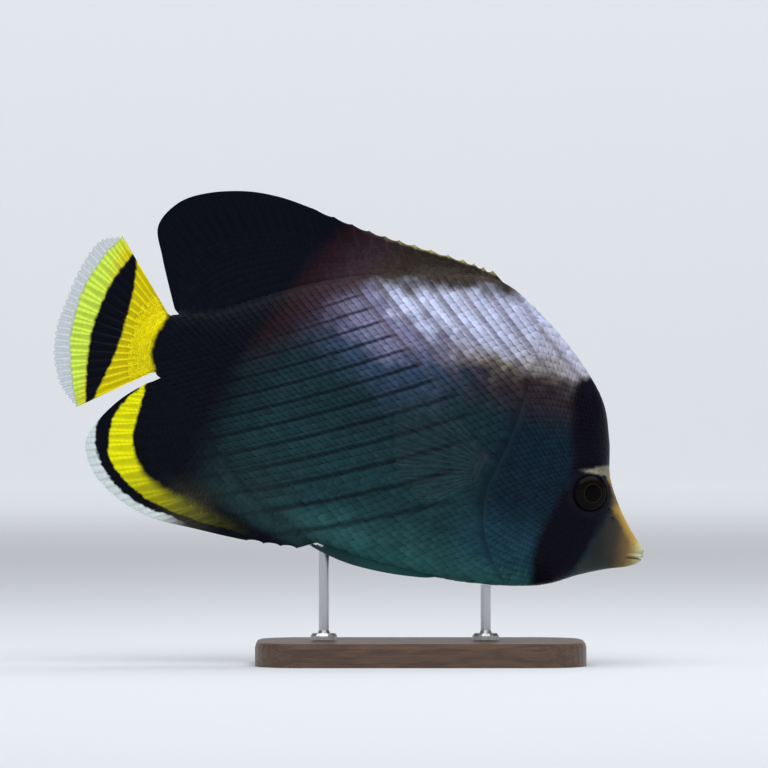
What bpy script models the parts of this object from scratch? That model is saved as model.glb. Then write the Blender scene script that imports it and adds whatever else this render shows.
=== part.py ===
"""Life-size still model of an Indian vagabond butterflyfish, nose down, on a plain two-rod display stand.

The fish is drawn in its own axes: aft is the distance behind the snout tip along the body, up is the height
above the body's axis, and side is the distance towards its left. Lengths are in metres, written as millimetres
times MM. The origin is the middle of the base's underside, +X is the way the fish faces and +Z is up.
"""

import math

import bmesh
import bpy
from mathutils import Vector

MM = 0.001
GAP = 0.3 * MM

# Pose
PITCH = math.radians(15)
BALANCE_AFT = 64.3 * MM
TAIL_SWAY = 3.2 * MM
SWAY_START = 84 * MM

# Body
STANDARD_LENGTH = 132.3 * MM
TOTAL_LENGTH = 160.0 * MM
WIDEST = -0.14
GILL_TOP = 8.0
GILL_BULGE = 7.45
GILL_LEVEL = -0.15
GILL_BOTTOM = 5.2
TAIL_ROOT = 13.4
GILL_STEP = 0.45 * MM

# Stations down the body, in mm: where its upper edge is (aft, up), where its lower edge is, and half its width.
STATIONS = (
    (0.0, -19.0, 0.9, -22.4, 1.5),
    (2.2, -17.2, 3.6, -24.0, 2.6),
    (5.6, -13.9, 9.0, -26.2, 4.0),
    (9.8, -8.9, 15.2, -29.4, 5.9),
    (13.6, -2.6, 21.8, -33.4, 7.8),
    (16.0, 5.8, 29.0, -35.9, 9.3),
    (20.3, 15.3, 36.6, -37.5, 10.3),
    (29.0, 24.0, 45.0, -38.7, 11.0),
    (40.4, 32.0, 54.4, -39.3, 11.3),
    (53.0, 37.9, 65.0, -39.5, 11.1),
    (67.0, 36.4, 76.0, -39.2, 10.3),
    (81.5, 32.4, 87.6, -37.0, 8.9),
    (95.5, 26.6, 98.6, -31.6, 7.2),
    (108.4, 19.4, 109.6, -23.6, 5.4),
    (120.4, 12.2, 120.8, -14.0, 3.7),
    (132.3, 7.7, 132.3, -7.2, 2.5),
)

# Eye
EYE_AFT = 17.8 * MM
EYE_UP = -8.3 * MM
EYE_SIDE = 6.5 * MM
EYE_RADIUS = 5.0 * MM
EYE_DEPTH = 2.8 * MM
EYE_TURN = math.radians(22)
EYE_RAISE = math.radians(4)
EYE_CENTRE = (EYE_AFT, EYE_SIDE, EYE_UP)
ORBIT_RIM = 0.5 * MM

# Mouth and nostrils
MOUTH_AFT = 4.6 * MM
MOUTH_UP = -20.9 * MM
MOUTH_DROP = 0.9 * MM
MOUTH_OPEN = 0.55 * MM
LIP = 0.4 * MM
NOSTRILS = ((11.9 * MM, 4.9 * MM, -11.0 * MM, 0.55 * MM), (10.3 * MM, 4.4 * MM, -13.0 * MM, 0.45 * MM))
NOSTRIL_DEPTH = 1.1 * MM

# Median fins
SHEATH = 1.15 * MM
MEMBRANE = 0.28 * MM
FIN_ROW_COUNT = 8
SPINE_COUNT = 13
SPINY_START = 52.6 * MM
SOFT_START = 94.0 * MM
SOFT_END = 130.2 * MM
SOFT_RAY_COUNT = 24
ANAL_START = 81.3 * MM
ANAL_SOFT_START = 90.0 * MM
ANAL_END = 130.6 * MM
ANAL_SPINE_COUNT = 3
ANAL_RAY_COUNT = 20
CAUDAL_RAY_COUNT = 17

# The margins of the median fins, in mm aft and up, from front to rear.
SPINY_MARGIN = ((56.0, 40.2), (64.0, 41.0), (77.0, 41.4), (89.0, 41.8), (103.6, 43.5))
SOFT_MARGIN = (
    (104.0, 43.5), (113.0, 44.2), (122.0, 43.4), (131.4, 40.4), (138.0, 36.0), (141.4, 29.0),
    (138.4, 21.8), (134.6, 14.6), (131.8, 9.6),
)
ANAL_MARGIN = (
    (86.0, -41.3), (94.4, -42.3), (103.4, -42.9), (113.2, -43.2), (123.2, -43.4), (132.5, -41.2), (141.0, -36.2),
    (145.0, -29.4), (143.6, -23.4), (139.6, -16.6), (134.8, -11.4), (132.4, -9.6),
)
CAUDAL_MARGIN = (
    (149.6, 24.2), (155.0, 21.6), (158.0, 14.0), (159.4, 5.0), (160.0, -3.0), (158.6, -10.5), (155.0, -17.0),
    (149.8, -21.2),
)

# Paired fins
PECTORAL_AFT = 45.6 * MM
PECTORAL_UP = -9.2 * MM
PECTORAL_ROOT = 6.4 * MM
PECTORAL_LEAN = math.radians(12)
PECTORAL_RAY_COUNT = 15
PECTORAL_LENGTH = 29.0 * MM
PECTORAL_SPREAD = (math.radians(34), math.radians(-42))
PECTORAL_LIFT = math.radians(24)
PELVIC_AFT = 49.0 * MM
PELVIC_SIDE = 2.7 * MM
PELVIC_FLARE = 1.2 * MM
PELVIC_DROP = 3.0 * MM
PELVIC_RAY_COUNT = 6
PELVIC_LENGTH = 34.0 * MM
PELVIC_ROOT = 2.4 * MM

# Stand
BASE_SIZE = (84 * MM, 46 * MM, 6 * MM)
BASE_CORNER = 12 * MM
BASE_CHAMFER = 1.2 * MM
CHIN_CLEARANCE = 14 * MM
ROD_RADIUS = 1.3 * MM
ROD_AFTS = (37.0 * MM, 79.4 * MM)
FOOT_RADIUS = 3.4 * MM
FOOT_HEIGHT = 1.6 * MM
ROD_SIDES = 20

PALE = (0.62, 0.62, 0.68, 1)
GREY = (0.42, 0.47, 0.50, 1)
BLACK = (0.012, 0.012, 0.016, 1)
YELLOW = (0.93, 0.72, 0.03, 1)
CLEAR = (0.70, 0.74, 0.74, 1)
WALNUT = (0.10, 0.055, 0.032, 1)
STEEL = (0.60, 0.60, 0.61, 1)


def clear_scene():
    for thing in list(bpy.data.objects):
        bpy.data.objects.remove(thing, do_unlink=True)


def material(name, colour, roughness, metallic=0.0):
    made = bpy.data.materials.new(name)
    made.use_nodes = True
    shader = made.node_tree.nodes["Principled BSDF"]
    shader.inputs["Base Color"].default_value = colour
    shader.inputs["Roughness"].default_value = roughness
    shader.inputs["Metallic"].default_value = metallic
    return made


def add_object(name, mesh, finish=None, smooth_degrees=40):
    """Links a mesh as a named object. With no finish it is a cutter, which isn't part of the model."""
    thing = bpy.data.objects.new(name, mesh)
    bpy.context.scene.collection.objects.link(thing)
    if finish is None:
        thing.hide_render = True
        thing.display_type = "WIRE"
    else:
        mesh.materials.append(finish)
        mesh.shade_smooth()
        mesh.set_sharp_from_angle(angle=math.radians(smooth_degrees))
    return thing


def mesh_from(name, points, faces):
    mesh = bpy.data.meshes.new(name)
    mesh.from_pydata([tuple(p) for p in points], [], faces)
    mesh.validate()
    return mesh


def spline(values, u):
    """A smooth curve through evenly numbered values, read at u."""
    last = len(values) - 1
    u = min(max(u, 0.0), float(last))
    i = min(int(u), last - 1)
    f = u - i
    p1, p2 = values[i], values[i + 1]
    p0 = values[i - 1] if i > 0 else 2 * p1 - p2
    p3 = values[i + 2] if i + 2 <= last else 2 * p2 - p1
    slope1, slope2 = (p2 - p0) / 2, (p3 - p1) / 2
    return (
        (2 * f**3 - 3 * f**2 + 1) * p1
        + (f**3 - 2 * f**2 + f) * slope1
        + (3 * f**2 - 2 * f**3) * p2
        + (f**3 - f**2) * slope2
    )


def smooth_step(low, high, x):
    f = min(max((x - low) / (high - low), 0.0), 1.0)
    return f * f * (3 - 2 * f)


def station(u):
    """(top aft, top up, bottom aft, bottom up, half width) of the body at station u, in metres."""
    return [spline([row[k] for row in STATIONS], u) * MM for k in range(5)]


def chord_point(u, v):
    """(aft, up) on the body's middle plane, from the lower edge at v = -1 to the upper edge at v = 1."""
    top_aft, top_up, low_aft, low_up, _ = station(u)
    share = (1 + v) / 2
    return low_aft + (top_aft - low_aft) * share, low_up + (top_up - low_up) * share


def edge_half(u, v):
    """Half the width of the flat along the body's upper or lower edge, which a fin or a rod meets."""
    if v > 0:
        return (0.5 + 0.65 * smooth_step(7.6, 9.4, u)) * MM
    return (0.6 + 0.85 * smooth_step(4.5, 6.5, u) - 0.3 * smooth_step(10.2, 11.4, u)) * MM


def relief(aft, up):
    """What the face's own forms add to the head's plain shape: the rim of the eye, lips, cheek and gill cover."""
    from_eye = math.hypot(aft - EYE_AFT, up - EYE_UP)
    rim = ORBIT_RIM * math.exp(-(((from_eye - EYE_RADIUS - 0.7 * MM) / (1.1 * MM)) ** 2))
    lips = LIP * (math.exp(-(((aft - 1.2 * MM) / (1.1 * MM)) ** 2)) - 0.5 * math.exp(-(((aft - 3.6 * MM) / MM) ** 2)))
    ridge_aft = 30.0 * MM - 0.010 / MM * (up + 10 * MM) ** 2
    ridge = 0.35 * MM * math.exp(-(((aft - ridge_aft) / (1.6 * MM)) ** 2)) * smooth_step(-30 * MM, -24 * MM, up)
    ridge *= 1 - smooth_step(2 * MM, 8 * MM, up)
    return rim + lips + ridge


def body_half(u, v):
    """Half the body's width at station u and height share v."""
    half = station(u)[4]
    edge = edge_half(u, v)
    share = (v - WIDEST) / (1 - WIDEST) if v > WIDEST else (WIDEST - v) / (1 + WIDEST)
    if v > WIDEST:
        power = 0.5 + 0.30 * smooth_step(5.0, 9.0, u)
    else:
        power = 0.5 + 0.22 * smooth_step(9.0, 12.0, u)
    return edge + (half - edge) * max(1 - min(share, 1.0) ** 2.2, 0.0) ** power


def sway(aft):
    """How far the tail's sideways sweep carries a point at that distance behind the snout."""
    share = max(0.0, aft - SWAY_START) / (TOTAL_LENGTH - SWAY_START)
    return TAIL_SWAY * share**2


def lowest_drop():
    """How far the chin and belly reach below the axis point at the snout."""
    drops = []
    for i in range(161):
        aft, up = chord_point(i / 161 * (len(STATIONS) - 1), -1)
        drops.append(-(aft * math.sin(PITCH) + up * math.cos(PITCH)))
    return max(drops)


SNOUT = Vector((
    BALANCE_AFT * math.cos(PITCH),
    0,
    BASE_SIZE[2] + CHIN_CLEARANCE + lowest_drop(),
))


def place(aft, side, up):
    """A point of the fish in the model's axes."""
    return Vector((
        SNOUT.x - aft * math.cos(PITCH) + up * math.sin(PITCH),
        side + sway(aft),
        SNOUT.z + aft * math.sin(PITCH) + up * math.cos(PITCH),
    ))


def gill_edge(v):
    """The station number of the gill cover's free edge at height share v."""
    if v > GILL_LEVEL:
        return GILL_BULGE + (GILL_TOP - GILL_BULGE) * ((v - GILL_LEVEL) / (1 - GILL_LEVEL)) ** 2
    return GILL_BULGE + (GILL_BOTTOM - GILL_BULGE) * ((GILL_LEVEL - v) / (1 + GILL_LEVEL)) ** 2


def step_back(u, v, distance):
    """The station number that lies that distance behind station u, measured along the body."""
    a, b = chord_point(u, v), chord_point(u + 0.02, v)
    return u + 0.02 * distance / math.hypot(b[0] - a[0], b[1] - a[1])


def ring_shares(count):
    """Height shares from -1 to 1, closer together at both edges."""
    return [math.sin(math.pi / 2 * (2 * j / count - 1)) for j in range(count + 1)]


def loft(name, rings, finish):
    """A closed body from rings of (left points, right points), each listed from the lower edge to the upper."""
    points, faces = [], []
    count = len(rings[0][0])
    for left, right in rings:
        points += left + right[::-1]
    size = 2 * count
    for i in range(len(rings) - 1):
        for j in range(size):
            a, b = i * size + j, i * size + (j + 1) % size
            c, d = b + size, a + size
            faces += [(a, b, c), (a, c, d)]
    for first, turn in ((0, True), ((len(rings) - 1) * size, False)):
        for j in range(count - 1):
            a, b = first + j, first + j + 1
            c, d = first + size - 2 - j, first + size - 1 - j
            quads = [(a, b, c), (a, c, d)]
            faces += [q[::-1] for q in quads] if turn else quads
    mesh = mesh_from(name, points, faces)
    outward(mesh)
    return add_object(name, mesh, finish)


def outward(mesh):
    """Turns every face of a closed mesh outwards."""
    work = bmesh.new()
    work.from_mesh(mesh)
    bmesh.ops.recalc_face_normals(work, faces=work.faces)
    if work.calc_volume(signed=True) < 0:
        bmesh.ops.reverse_faces(work, faces=work.faces)
    work.to_mesh(mesh)
    work.free()


def flesh_ring(shares, station_of, half_of):
    left, right = [], []
    for v in shares:
        u = station_of(v)
        aft, up = chord_point(u, v)
        half = half_of(u, v, aft, up)
        left.append(place(aft, half, up))
        right.append(place(aft, -half, up))
    return left, right


def head_half(u, v, aft, up):
    flat = 1 - abs(v) ** 12
    lift = GILL_STEP * smooth_step(gill_edge(v) - 1.0, gill_edge(v), u) * (1 - abs(v) ** 4)
    return body_half(u, v) + relief(aft, up) * flat + lift


def torso_half(u, v, aft, up):
    """The flank, with the fleshy root of the pectoral fin raised on it."""
    far = math.hypot(aft - PECTORAL_AFT, (up - PECTORAL_UP) * 0.75)
    return body_half(u, v) + 0.5 * MM * math.exp(-((far / (3.4 * MM)) ** 2))


def make_head(finish):
    shares = ring_shares(16)
    steps = [(i / 24) ** 1.15 for i in range(25)]
    rings = [flesh_ring(shares, lambda v, s=s: s * gill_edge(v), head_half) for s in steps]
    return loft("head", rings, finish)


def make_torso(finish):
    shares = ring_shares(14)
    count = 22
    rings = []
    for i in range(count + 1):
        def station_of(v, f=i / count):
            start = step_back(gill_edge(v), v, GAP)
            return start + (TAIL_ROOT - start) * f
        rings.append(flesh_ring(shares, station_of, torso_half))
    return loft("torso", rings, finish)


def make_tail_stem(finish):
    shares = ring_shares(10)
    last = len(STATIONS) - 1
    rings = []
    for i in range(7):
        def station_of(v, f=i / 6):
            start = step_back(TAIL_ROOT, v, GAP)
            return start + (last - start) * f
        rings.append(flesh_ring(shares, station_of, lambda u, v, aft, up: body_half(u, v)))
    return loft("tail_stem", rings, finish)


def side_lens(name, centre, sign, radius, depth, finish=None, rings=12, sides=20):
    """A rounded solid on one side of the head, its axis square to the skin at the eye."""
    axis = Vector((-math.sin(EYE_TURN) * math.cos(EYE_RAISE), math.cos(EYE_TURN), math.sin(EYE_RAISE))).normalized()
    across = Vector((math.cos(EYE_TURN), math.sin(EYE_TURN), 0))
    upward = across.cross(axis)
    work = bmesh.new()
    bmesh.ops.create_uvsphere(work, u_segments=sides, v_segments=rings, radius=1)
    for vertex in work.verts:
        x, y, z = vertex.co
        off = across * x * radius + upward * y * radius + axis * z * depth
        vertex.co = place(centre[0] + off.x, sign * (centre[1] + off.y), centre[2] + off.z)
    bmesh.ops.triangulate(work, faces=work.faces)
    mesh = bpy.data.meshes.new(name)
    work.to_mesh(mesh)
    work.free()
    outward(mesh)
    return add_object(name, mesh, finish)


def cut(thing, cutter):
    modifier = thing.modifiers.new("cut_" + cutter.name, "BOOLEAN")
    modifier.operation = "DIFFERENCE"
    modifier.solver = "EXACT"
    modifier.object = cutter


def make_mouth_cutter():
    """A thin wedge that parts the jaws: widest at the lips, closing towards the corner of the mouth."""
    front, side = -2 * MM, 5 * MM
    points = []
    for s in (side, -side):
        points += [
            place(front, s, MOUTH_UP + MOUTH_OPEN / 2 + 0.2 * MM),
            place(MOUTH_AFT, s, MOUTH_UP - MOUTH_DROP),
            place(front, s, MOUTH_UP - MOUTH_OPEN / 2 + 0.2 * MM),
        ]
    faces = [(0, 1, 2), (3, 5, 4), (0, 3, 4), (0, 4, 1), (1, 4, 5), (1, 5, 2), (2, 5, 3), (2, 3, 0)]
    mesh = mesh_from("mouth_cutter", points, faces)
    outward(mesh)
    return add_object("mouth_cutter", mesh)


def cut_face(head):
    """Cuts the mouth, the eye sockets and the nostrils into the head."""
    cut(head, make_mouth_cutter())
    for word, sign in (("left", 1), ("right", -1)):
        socket = side_lens("socket_" + word, EYE_CENTRE, sign, EYE_RADIUS + GAP, EYE_DEPTH + GAP)
        cut(head, socket)
        for number, (aft, side, up, radius) in enumerate(NOSTRILS):
            name = f"nostril_{word}_{number}"
            cut(head, side_lens(name, (aft, side, up), sign, radius, NOSTRIL_DEPTH, None, 8, 10))


def make_eyes(finish):
    for word, sign in (("left", 1), ("right", -1)):
        side_lens("eye_" + word, EYE_CENTRE, sign, EYE_RADIUS, EYE_DEPTH, finish)


def edge_of_body(aft, top):
    """The height of the body's upper or lower edge at a distance behind the snout, found by halving."""
    low, high = 0.0, float(len(STATIONS) - 1)
    v = 1 if top else -1
    for _ in range(40):
        middle = (low + high) / 2
        if chord_point(middle, v)[0] < aft:
            low = middle
        else:
            high = middle
    return chord_point((low + high) / 2, v)[1]


def fin_solid(name, columns, finish):
    """A closed fin from columns of rows, each row (point on one face, point on the other).

    Both faces are split into the same triangles, so that they can't cross where the fin curves.
    """
    wide, tall = len(columns), len(columns[0])
    points = [pair[0] for column in columns for pair in column]
    points += [pair[1] for column in columns for pair in column]
    other = wide * tall
    faces = []
    for i in range(wide - 1):
        for j in range(tall - 1):
            a, b = i * tall + j, (i + 1) * tall + j
            c, d = b + 1, a + 1
            for triangle in ((a, b, c), (a, c, d)):
                faces.append(triangle)
                faces.append(tuple(k + other for k in reversed(triangle)))
    rim = [i * tall for i in range(wide)]
    rim += [(wide - 1) * tall + j for j in range(1, tall)]
    rim += [i * tall + tall - 1 for i in range(wide - 2, -1, -1)]
    rim += [j for j in range(tall - 2, 0, -1)]
    for k, a in enumerate(rim):
        b = rim[(k + 1) % len(rim)]
        faces += [(a, a + other, b + other), (a, b + other, b)]
    mesh = mesh_from(name, points, faces)
    outward(mesh)
    return add_object(name, mesh, finish, 60)


def along(margin, share):
    """The point at that share of a margin, by its list of points."""
    u = share * (len(margin) - 1)
    return spline([p[0] for p in margin], u) * MM, spline([p[1] for p in margin], u) * MM


def fin_half(row_share, on_ray, root):
    """Half the thickness of a fin: the scaly sheath at its root thins out, and the rays stand as ridges."""
    sheath = (root - 0.5 * MM) * (1 - smooth_step(0.0, 0.32, row_share))
    ray = (0.5 * MM - MEMBRANE * 0.8) * (1 - row_share) + MEMBRANE
    web = MEMBRANE * (1 - 0.15 * row_share)
    return sheath + (ray if on_ray else min(ray, web + 0.22 * MM * (1 - smooth_step(0.0, 0.25, row_share))))


def median_columns(roots, tips, on_ray, root_half, bend=0.0):
    """Columns of a fin in the fish's middle plane, from root and tip points given as (aft, up)."""
    columns = []
    for (aft0, up0), (aft1, up1), ray in zip(roots, tips, on_ray):
        column = []
        for j in range(FIN_ROW_COUNT + 1):
            share = j / FIN_ROW_COUNT
            lift = bend * share * (1 - share)
            aft = aft0 + (aft1 - aft0) * share
            up = up0 + (up1 - up0) * share + lift
            half = fin_half(share, ray, root_half)
            column.append((place(aft, half, up), place(aft, -half, up)))
        columns.append(column)
    return columns


def make_spiny_dorsal(finish):
    """Thirteen folded spines with the membrane cut in between their tips."""
    roots, tips, on_ray = [], [], []
    count = 2 * SPINE_COUNT - 1
    for i in range(count):
        share = i / (count - 1)
        aft = SPINY_START + (SOFT_START - GAP / 2 - SPINY_START) * share
        roots.append((aft, edge_of_body(aft, True) + GAP))
        tip_aft, tip_up = along(SPINY_MARGIN, share)
        is_spine = i % 2 == 0
        if not is_spine:
            tip_up -= 0.9 * MM * (1 - 0.6 * share)
        if i == count - 1:
            tip_aft -= GAP
        tips.append((tip_aft, tip_up))
        on_ray.append(is_spine)
    fin_solid("dorsal_fin_spines", median_columns(roots, tips, on_ray, SHEATH), finish)


def make_soft_dorsal(finish):
    roots, tips, on_ray = [], [], []
    count = 2 * SOFT_RAY_COUNT - 1
    for i in range(count):
        share = i / (count - 1)
        aft = SOFT_START + GAP / 2 + (SOFT_END - SOFT_START - GAP / 2) * share**0.92
        roots.append((aft, edge_of_body(aft, True) + GAP))
        tips.append(along(SOFT_MARGIN, share**1.05))
        on_ray.append(i % 2 == 0)
    fin_solid("dorsal_fin_soft", median_columns(roots, tips, on_ray, SHEATH), finish)


def make_anal_fin(finish):
    """Three spines, then soft rays that fan out into the rear lobe."""
    roots, tips, on_ray = [], [], []
    ray_total = ANAL_SPINE_COUNT + ANAL_RAY_COUNT
    count = 2 * ray_total - 1
    spine_share = 2 * ANAL_SPINE_COUNT / (count - 1)
    for i in range(count):
        share = i / (count - 1)
        if share < spine_share:
            aft = ANAL_START + (ANAL_SOFT_START - ANAL_START) * share / spine_share
        else:
            aft = ANAL_SOFT_START + (ANAL_END - ANAL_SOFT_START) * (share - spine_share) / (1 - spine_share)
        roots.append((aft, edge_of_body(aft, False) - GAP))
        tips.append(along(ANAL_MARGIN, share))
        on_ray.append(i % 2 == 0)
    fin_solid("anal_fin", median_columns(roots, tips, on_ray, SHEATH), finish)


def make_caudal_fin(finish):
    roots, tips, on_ray = [], [], []
    count = 2 * CAUDAL_RAY_COUNT - 1
    _, top_up, _, low_up, _ = station(len(STATIONS) - 1)
    inset = 0.35 * MM
    for i in range(count):
        share = i / (count - 1)
        up = top_up - inset + (low_up - top_up + 2 * inset) * share
        roots.append((STANDARD_LENGTH + GAP, up))
        tips.append(along(CAUDAL_MARGIN, share))
        on_ray.append(i % 2 == 0)
    fin_solid("caudal_fin", median_columns(roots, tips, on_ray, 1.7 * MM), finish)


def flank_half(aft, up):
    """Half the torso's width at a point of its side."""
    u, v = 7.0, 0.0
    for _ in range(30):
        here = chord_point(u, v)
        du = (aft - here[0]) / (12 * MM)
        top, low = chord_point(u, 1), chord_point(u, -1)
        dv = 2 * (up - here[1]) / (top[1] - low[1])
        u += 0.7 * du
        v += 0.7 * dv
    return torso_half(u, v, aft, up)


def make_pectoral_fin(word, sign, finish):
    """A fan of rays that leaves the flank behind the gill cover, trailing back and a little outwards."""
    columns = []
    count = 2 * PECTORAL_RAY_COUNT - 1
    for i in range(count):
        share = i / (count - 1)
        drop = PECTORAL_ROOT * (0.5 - share)
        aft0 = PECTORAL_AFT - drop * math.tan(PECTORAL_LEAN)
        up0 = PECTORAL_UP + drop
        side0 = flank_half(aft0, up0) + GAP
        turn = PECTORAL_SPREAD[0] + (PECTORAL_SPREAD[1] - PECTORAL_SPREAD[0]) * share
        reach = PECTORAL_LENGTH * (1 - 0.50 * share**1.4) * (0.74 + 0.26 * smooth_step(-0.12, 0.26, share))
        column = []
        for j in range(FIN_ROW_COUNT + 1):
            row = j / FIN_ROW_COUNT
            run = reach * row
            flare = PECTORAL_LIFT * (1 - 0.45 * row)
            aft = aft0 + run * math.cos(turn) * math.cos(flare)
            up = up0 + run * math.sin(turn)
            side = side0 + run * math.sin(flare) * math.cos(turn * 0.6)
            ray = i % 2 == 0
            half = (0.42 if ray else 0.28) * MM * (1 - 0.3 * row) + 0.35 * MM * (1 - smooth_step(0.0, 0.2, row))
            lean = math.radians(90) * (1 - smooth_step(0.0, 0.12, row)) + flare * smooth_step(0.0, 0.12, row)
            da, ds = half * math.sin(lean), half * math.cos(lean)
            column.append((place(aft - da, sign * (side + ds), up), place(aft + da, sign * (side - ds), up)))
        columns.append(column)
    fin_solid("pectoral_fin_" + word, columns, finish)


def make_pelvic_fin(word, sign, finish):
    """A folded fan that stands on edge beside the belly's keel, its spine the lowest."""
    columns = []
    count = 2 * PELVIC_RAY_COUNT - 1
    for i in range(count):
        share = i / (count - 1)
        reach = PELVIC_LENGTH * (1 - 0.30 * share**1.4)
        column = []
        for j in range(FIN_ROW_COUNT + 1):
            row = j / FIN_ROW_COUNT
            aft = PELVIC_AFT + PELVIC_ROOT * share + reach * row
            side = PELVIC_SIDE + PELVIC_FLARE * (1 - share) * math.sin(math.pi * 0.62 * row)
            ray = i % 2 == 0
            half = (0.40 if ray else 0.27) * MM * (1 - 0.25 * row)
            drop = PELVIC_DROP * (1 - share) * (1 - (1 - row) ** 2.2)
            up = edge_of_body(aft, False) + keel_rise(aft, side - half) - GAP - drop
            column.append((place(aft, sign * (side + half), up), place(aft, sign * (side - half), up)))
        columns.append(column)
    fin_solid("pelvic_fin_" + word, columns, finish)


def keel_rise(aft, side):
    """How far above the belly's lowest line its surface is, at a distance from the middle plane."""
    u = 7.5 + (aft - 49.6 * MM) / (10.5 * MM)
    low, high = -1.0, WIDEST
    for _ in range(30):
        v = (low + high) / 2
        if body_half(u, v) < side:
            low = v
        else:
            high = v
    return chord_point(u, low)[1] - chord_point(u, -1)[1]


def make_base(finish):
    """A flat plate with rounded corners and a chamfered upper edge."""
    half_x, half_y = BASE_SIZE[0] / 2 - BASE_CORNER, BASE_SIZE[1] / 2 - BASE_CORNER
    corner_steps = 8
    work = bmesh.new()
    outline = []
    for quarter, (sx, sy) in enumerate(((1, 1), (-1, 1), (-1, -1), (1, -1))):
        for k in range(corner_steps + 1):
            angle = math.pi / 2 * (quarter + k / corner_steps)
            outline.append(work.verts.new((
                sx * half_x + BASE_CORNER * math.cos(angle),
                sy * half_y + BASE_CORNER * math.sin(angle),
                0,
            )))
    face = work.faces.new(outline)
    lifted = bmesh.ops.extrude_face_region(work, geom=[face])
    top = [v for v in lifted["geom"] if isinstance(v, bmesh.types.BMVert)]
    bmesh.ops.translate(work, verts=top, vec=(0, 0, BASE_SIZE[2]))
    top_edges = [e for e in work.edges if all(abs(v.co.z - BASE_SIZE[2]) < 1e-6 for v in e.verts)]
    bmesh.ops.bevel(work, geom=top_edges, offset=BASE_CHAMFER, segments=2, profile=0.6, affect="EDGES")
    mesh = bpy.data.meshes.new("stand_base")
    work.to_mesh(mesh)
    work.free()
    outward(mesh)
    add_object("stand_base", mesh, finish)


def belly_height(x):
    """The height of the belly's lowest line above the floor, at that x."""
    low, high = 20 * MM, 110 * MM
    for _ in range(40):
        aft = (low + high) / 2
        if place(aft, 0, edge_of_body(aft, False)).x > x:
            low = aft
        else:
            high = aft
    return place(low, 0, edge_of_body(low, False)).z


def make_rod(name, aft, finish):
    """A straight rod with a turned foot on the base, its top cut to the slope of the belly."""
    centre = place(aft, 0, edge_of_body(aft, False))
    foot = BASE_SIZE[2] + GAP
    profile = (
        (FOOT_RADIUS, foot),
        (FOOT_RADIUS, foot + FOOT_HEIGHT * 0.6),
        (FOOT_RADIUS * 0.85, foot + FOOT_HEIGHT),
        (ROD_RADIUS * 1.25, foot + FOOT_HEIGHT),
        (ROD_RADIUS, foot + FOOT_HEIGHT * 1.5),
    )
    points, faces = [], []
    for radius, height in profile:
        for k in range(ROD_SIDES):
            angle = 2 * math.pi * k / ROD_SIDES
            points.append((centre.x + radius * math.cos(angle), radius * math.sin(angle), height))
    for k in range(ROD_SIDES):
        angle = 2 * math.pi * k / ROD_SIDES
        x = centre.x + ROD_RADIUS * math.cos(angle)
        points.append((x, ROD_RADIUS * math.sin(angle), belly_height(x) - GAP))
    rows = len(profile) + 1
    for i in range(rows - 1):
        for k in range(ROD_SIDES):
            a, b = i * ROD_SIDES + k, i * ROD_SIDES + (k + 1) % ROD_SIDES
            faces.append((a, b, b + ROD_SIDES, a + ROD_SIDES))
    faces.append(tuple(range(ROD_SIDES - 1, -1, -1)))
    faces.append(tuple(range((rows - 1) * ROD_SIDES, rows * ROD_SIDES)))
    mesh = mesh_from(name, points, faces)
    outward(mesh)
    add_object(name, mesh, finish, 30)


def main():
    clear_scene()
    pale = material("pale_skin", PALE, 0.42)
    grey = material("flank_skin", GREY, 0.42)
    black = material("black_skin", BLACK, 0.45)
    yellow = material("yellow_fin", YELLOW, 0.45)
    clear = material("clear_fin", CLEAR, 0.35)
    eye = material("eye", BLACK, 0.08)
    walnut = material("stand_wood", WALNUT, 0.45)
    steel = material("stand_steel", STEEL, 0.3, 1.0)
    head = make_head(pale)
    cut_face(head)
    make_eyes(eye)
    make_torso(grey)
    make_tail_stem(black)
    make_spiny_dorsal(black)
    make_soft_dorsal(black)
    make_anal_fin(yellow)
    make_caudal_fin(yellow)
    for word, sign in (("left", 1), ("right", -1)):
        make_pectoral_fin(word, sign, clear)
        make_pelvic_fin(word, sign, grey)
    make_base(walnut)
    make_rod("stand_rod_front", ROD_AFTS[0], steel)
    make_rod("stand_rod_rear", ROD_AFTS[1], steel)


main()
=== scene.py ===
"""The looks of the Indian vagabond butterflyfish: skin, scales, fins, eyes and stand, set around its solids.

The fish is drawn in its own axes, in millimetres: aft is the distance behind the snout tip along the body, up
is the height above the body's axis and side is the distance towards its left. place() turns them into the
frame's metres. Arrays hold many points at once.
"""

import math

import bpy
import numpy as np
from mathutils.bvhtree import BVHTree
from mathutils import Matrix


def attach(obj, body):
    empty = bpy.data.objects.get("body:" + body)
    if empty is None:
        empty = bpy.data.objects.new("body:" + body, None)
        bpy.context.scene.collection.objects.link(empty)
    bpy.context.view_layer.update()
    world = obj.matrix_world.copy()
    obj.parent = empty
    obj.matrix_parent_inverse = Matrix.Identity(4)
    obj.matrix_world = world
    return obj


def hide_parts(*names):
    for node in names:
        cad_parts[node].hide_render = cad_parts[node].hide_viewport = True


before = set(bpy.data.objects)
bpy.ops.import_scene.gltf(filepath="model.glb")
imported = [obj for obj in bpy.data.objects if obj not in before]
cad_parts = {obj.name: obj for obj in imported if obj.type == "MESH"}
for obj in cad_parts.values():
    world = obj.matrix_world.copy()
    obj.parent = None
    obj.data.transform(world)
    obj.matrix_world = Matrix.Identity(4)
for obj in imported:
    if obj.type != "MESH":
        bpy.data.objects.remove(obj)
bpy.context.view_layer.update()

MM = 0.001
SIDES = (("left", 1), ("right", -1))

# The unwrap: its name, and the millimetres to its unit along the body, down the skin and down the scales
BAKE_MAP = "OFBake"
SKIN_MAP = (166, 230)
SCALE_MAP_HEIGHT = 190

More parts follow.
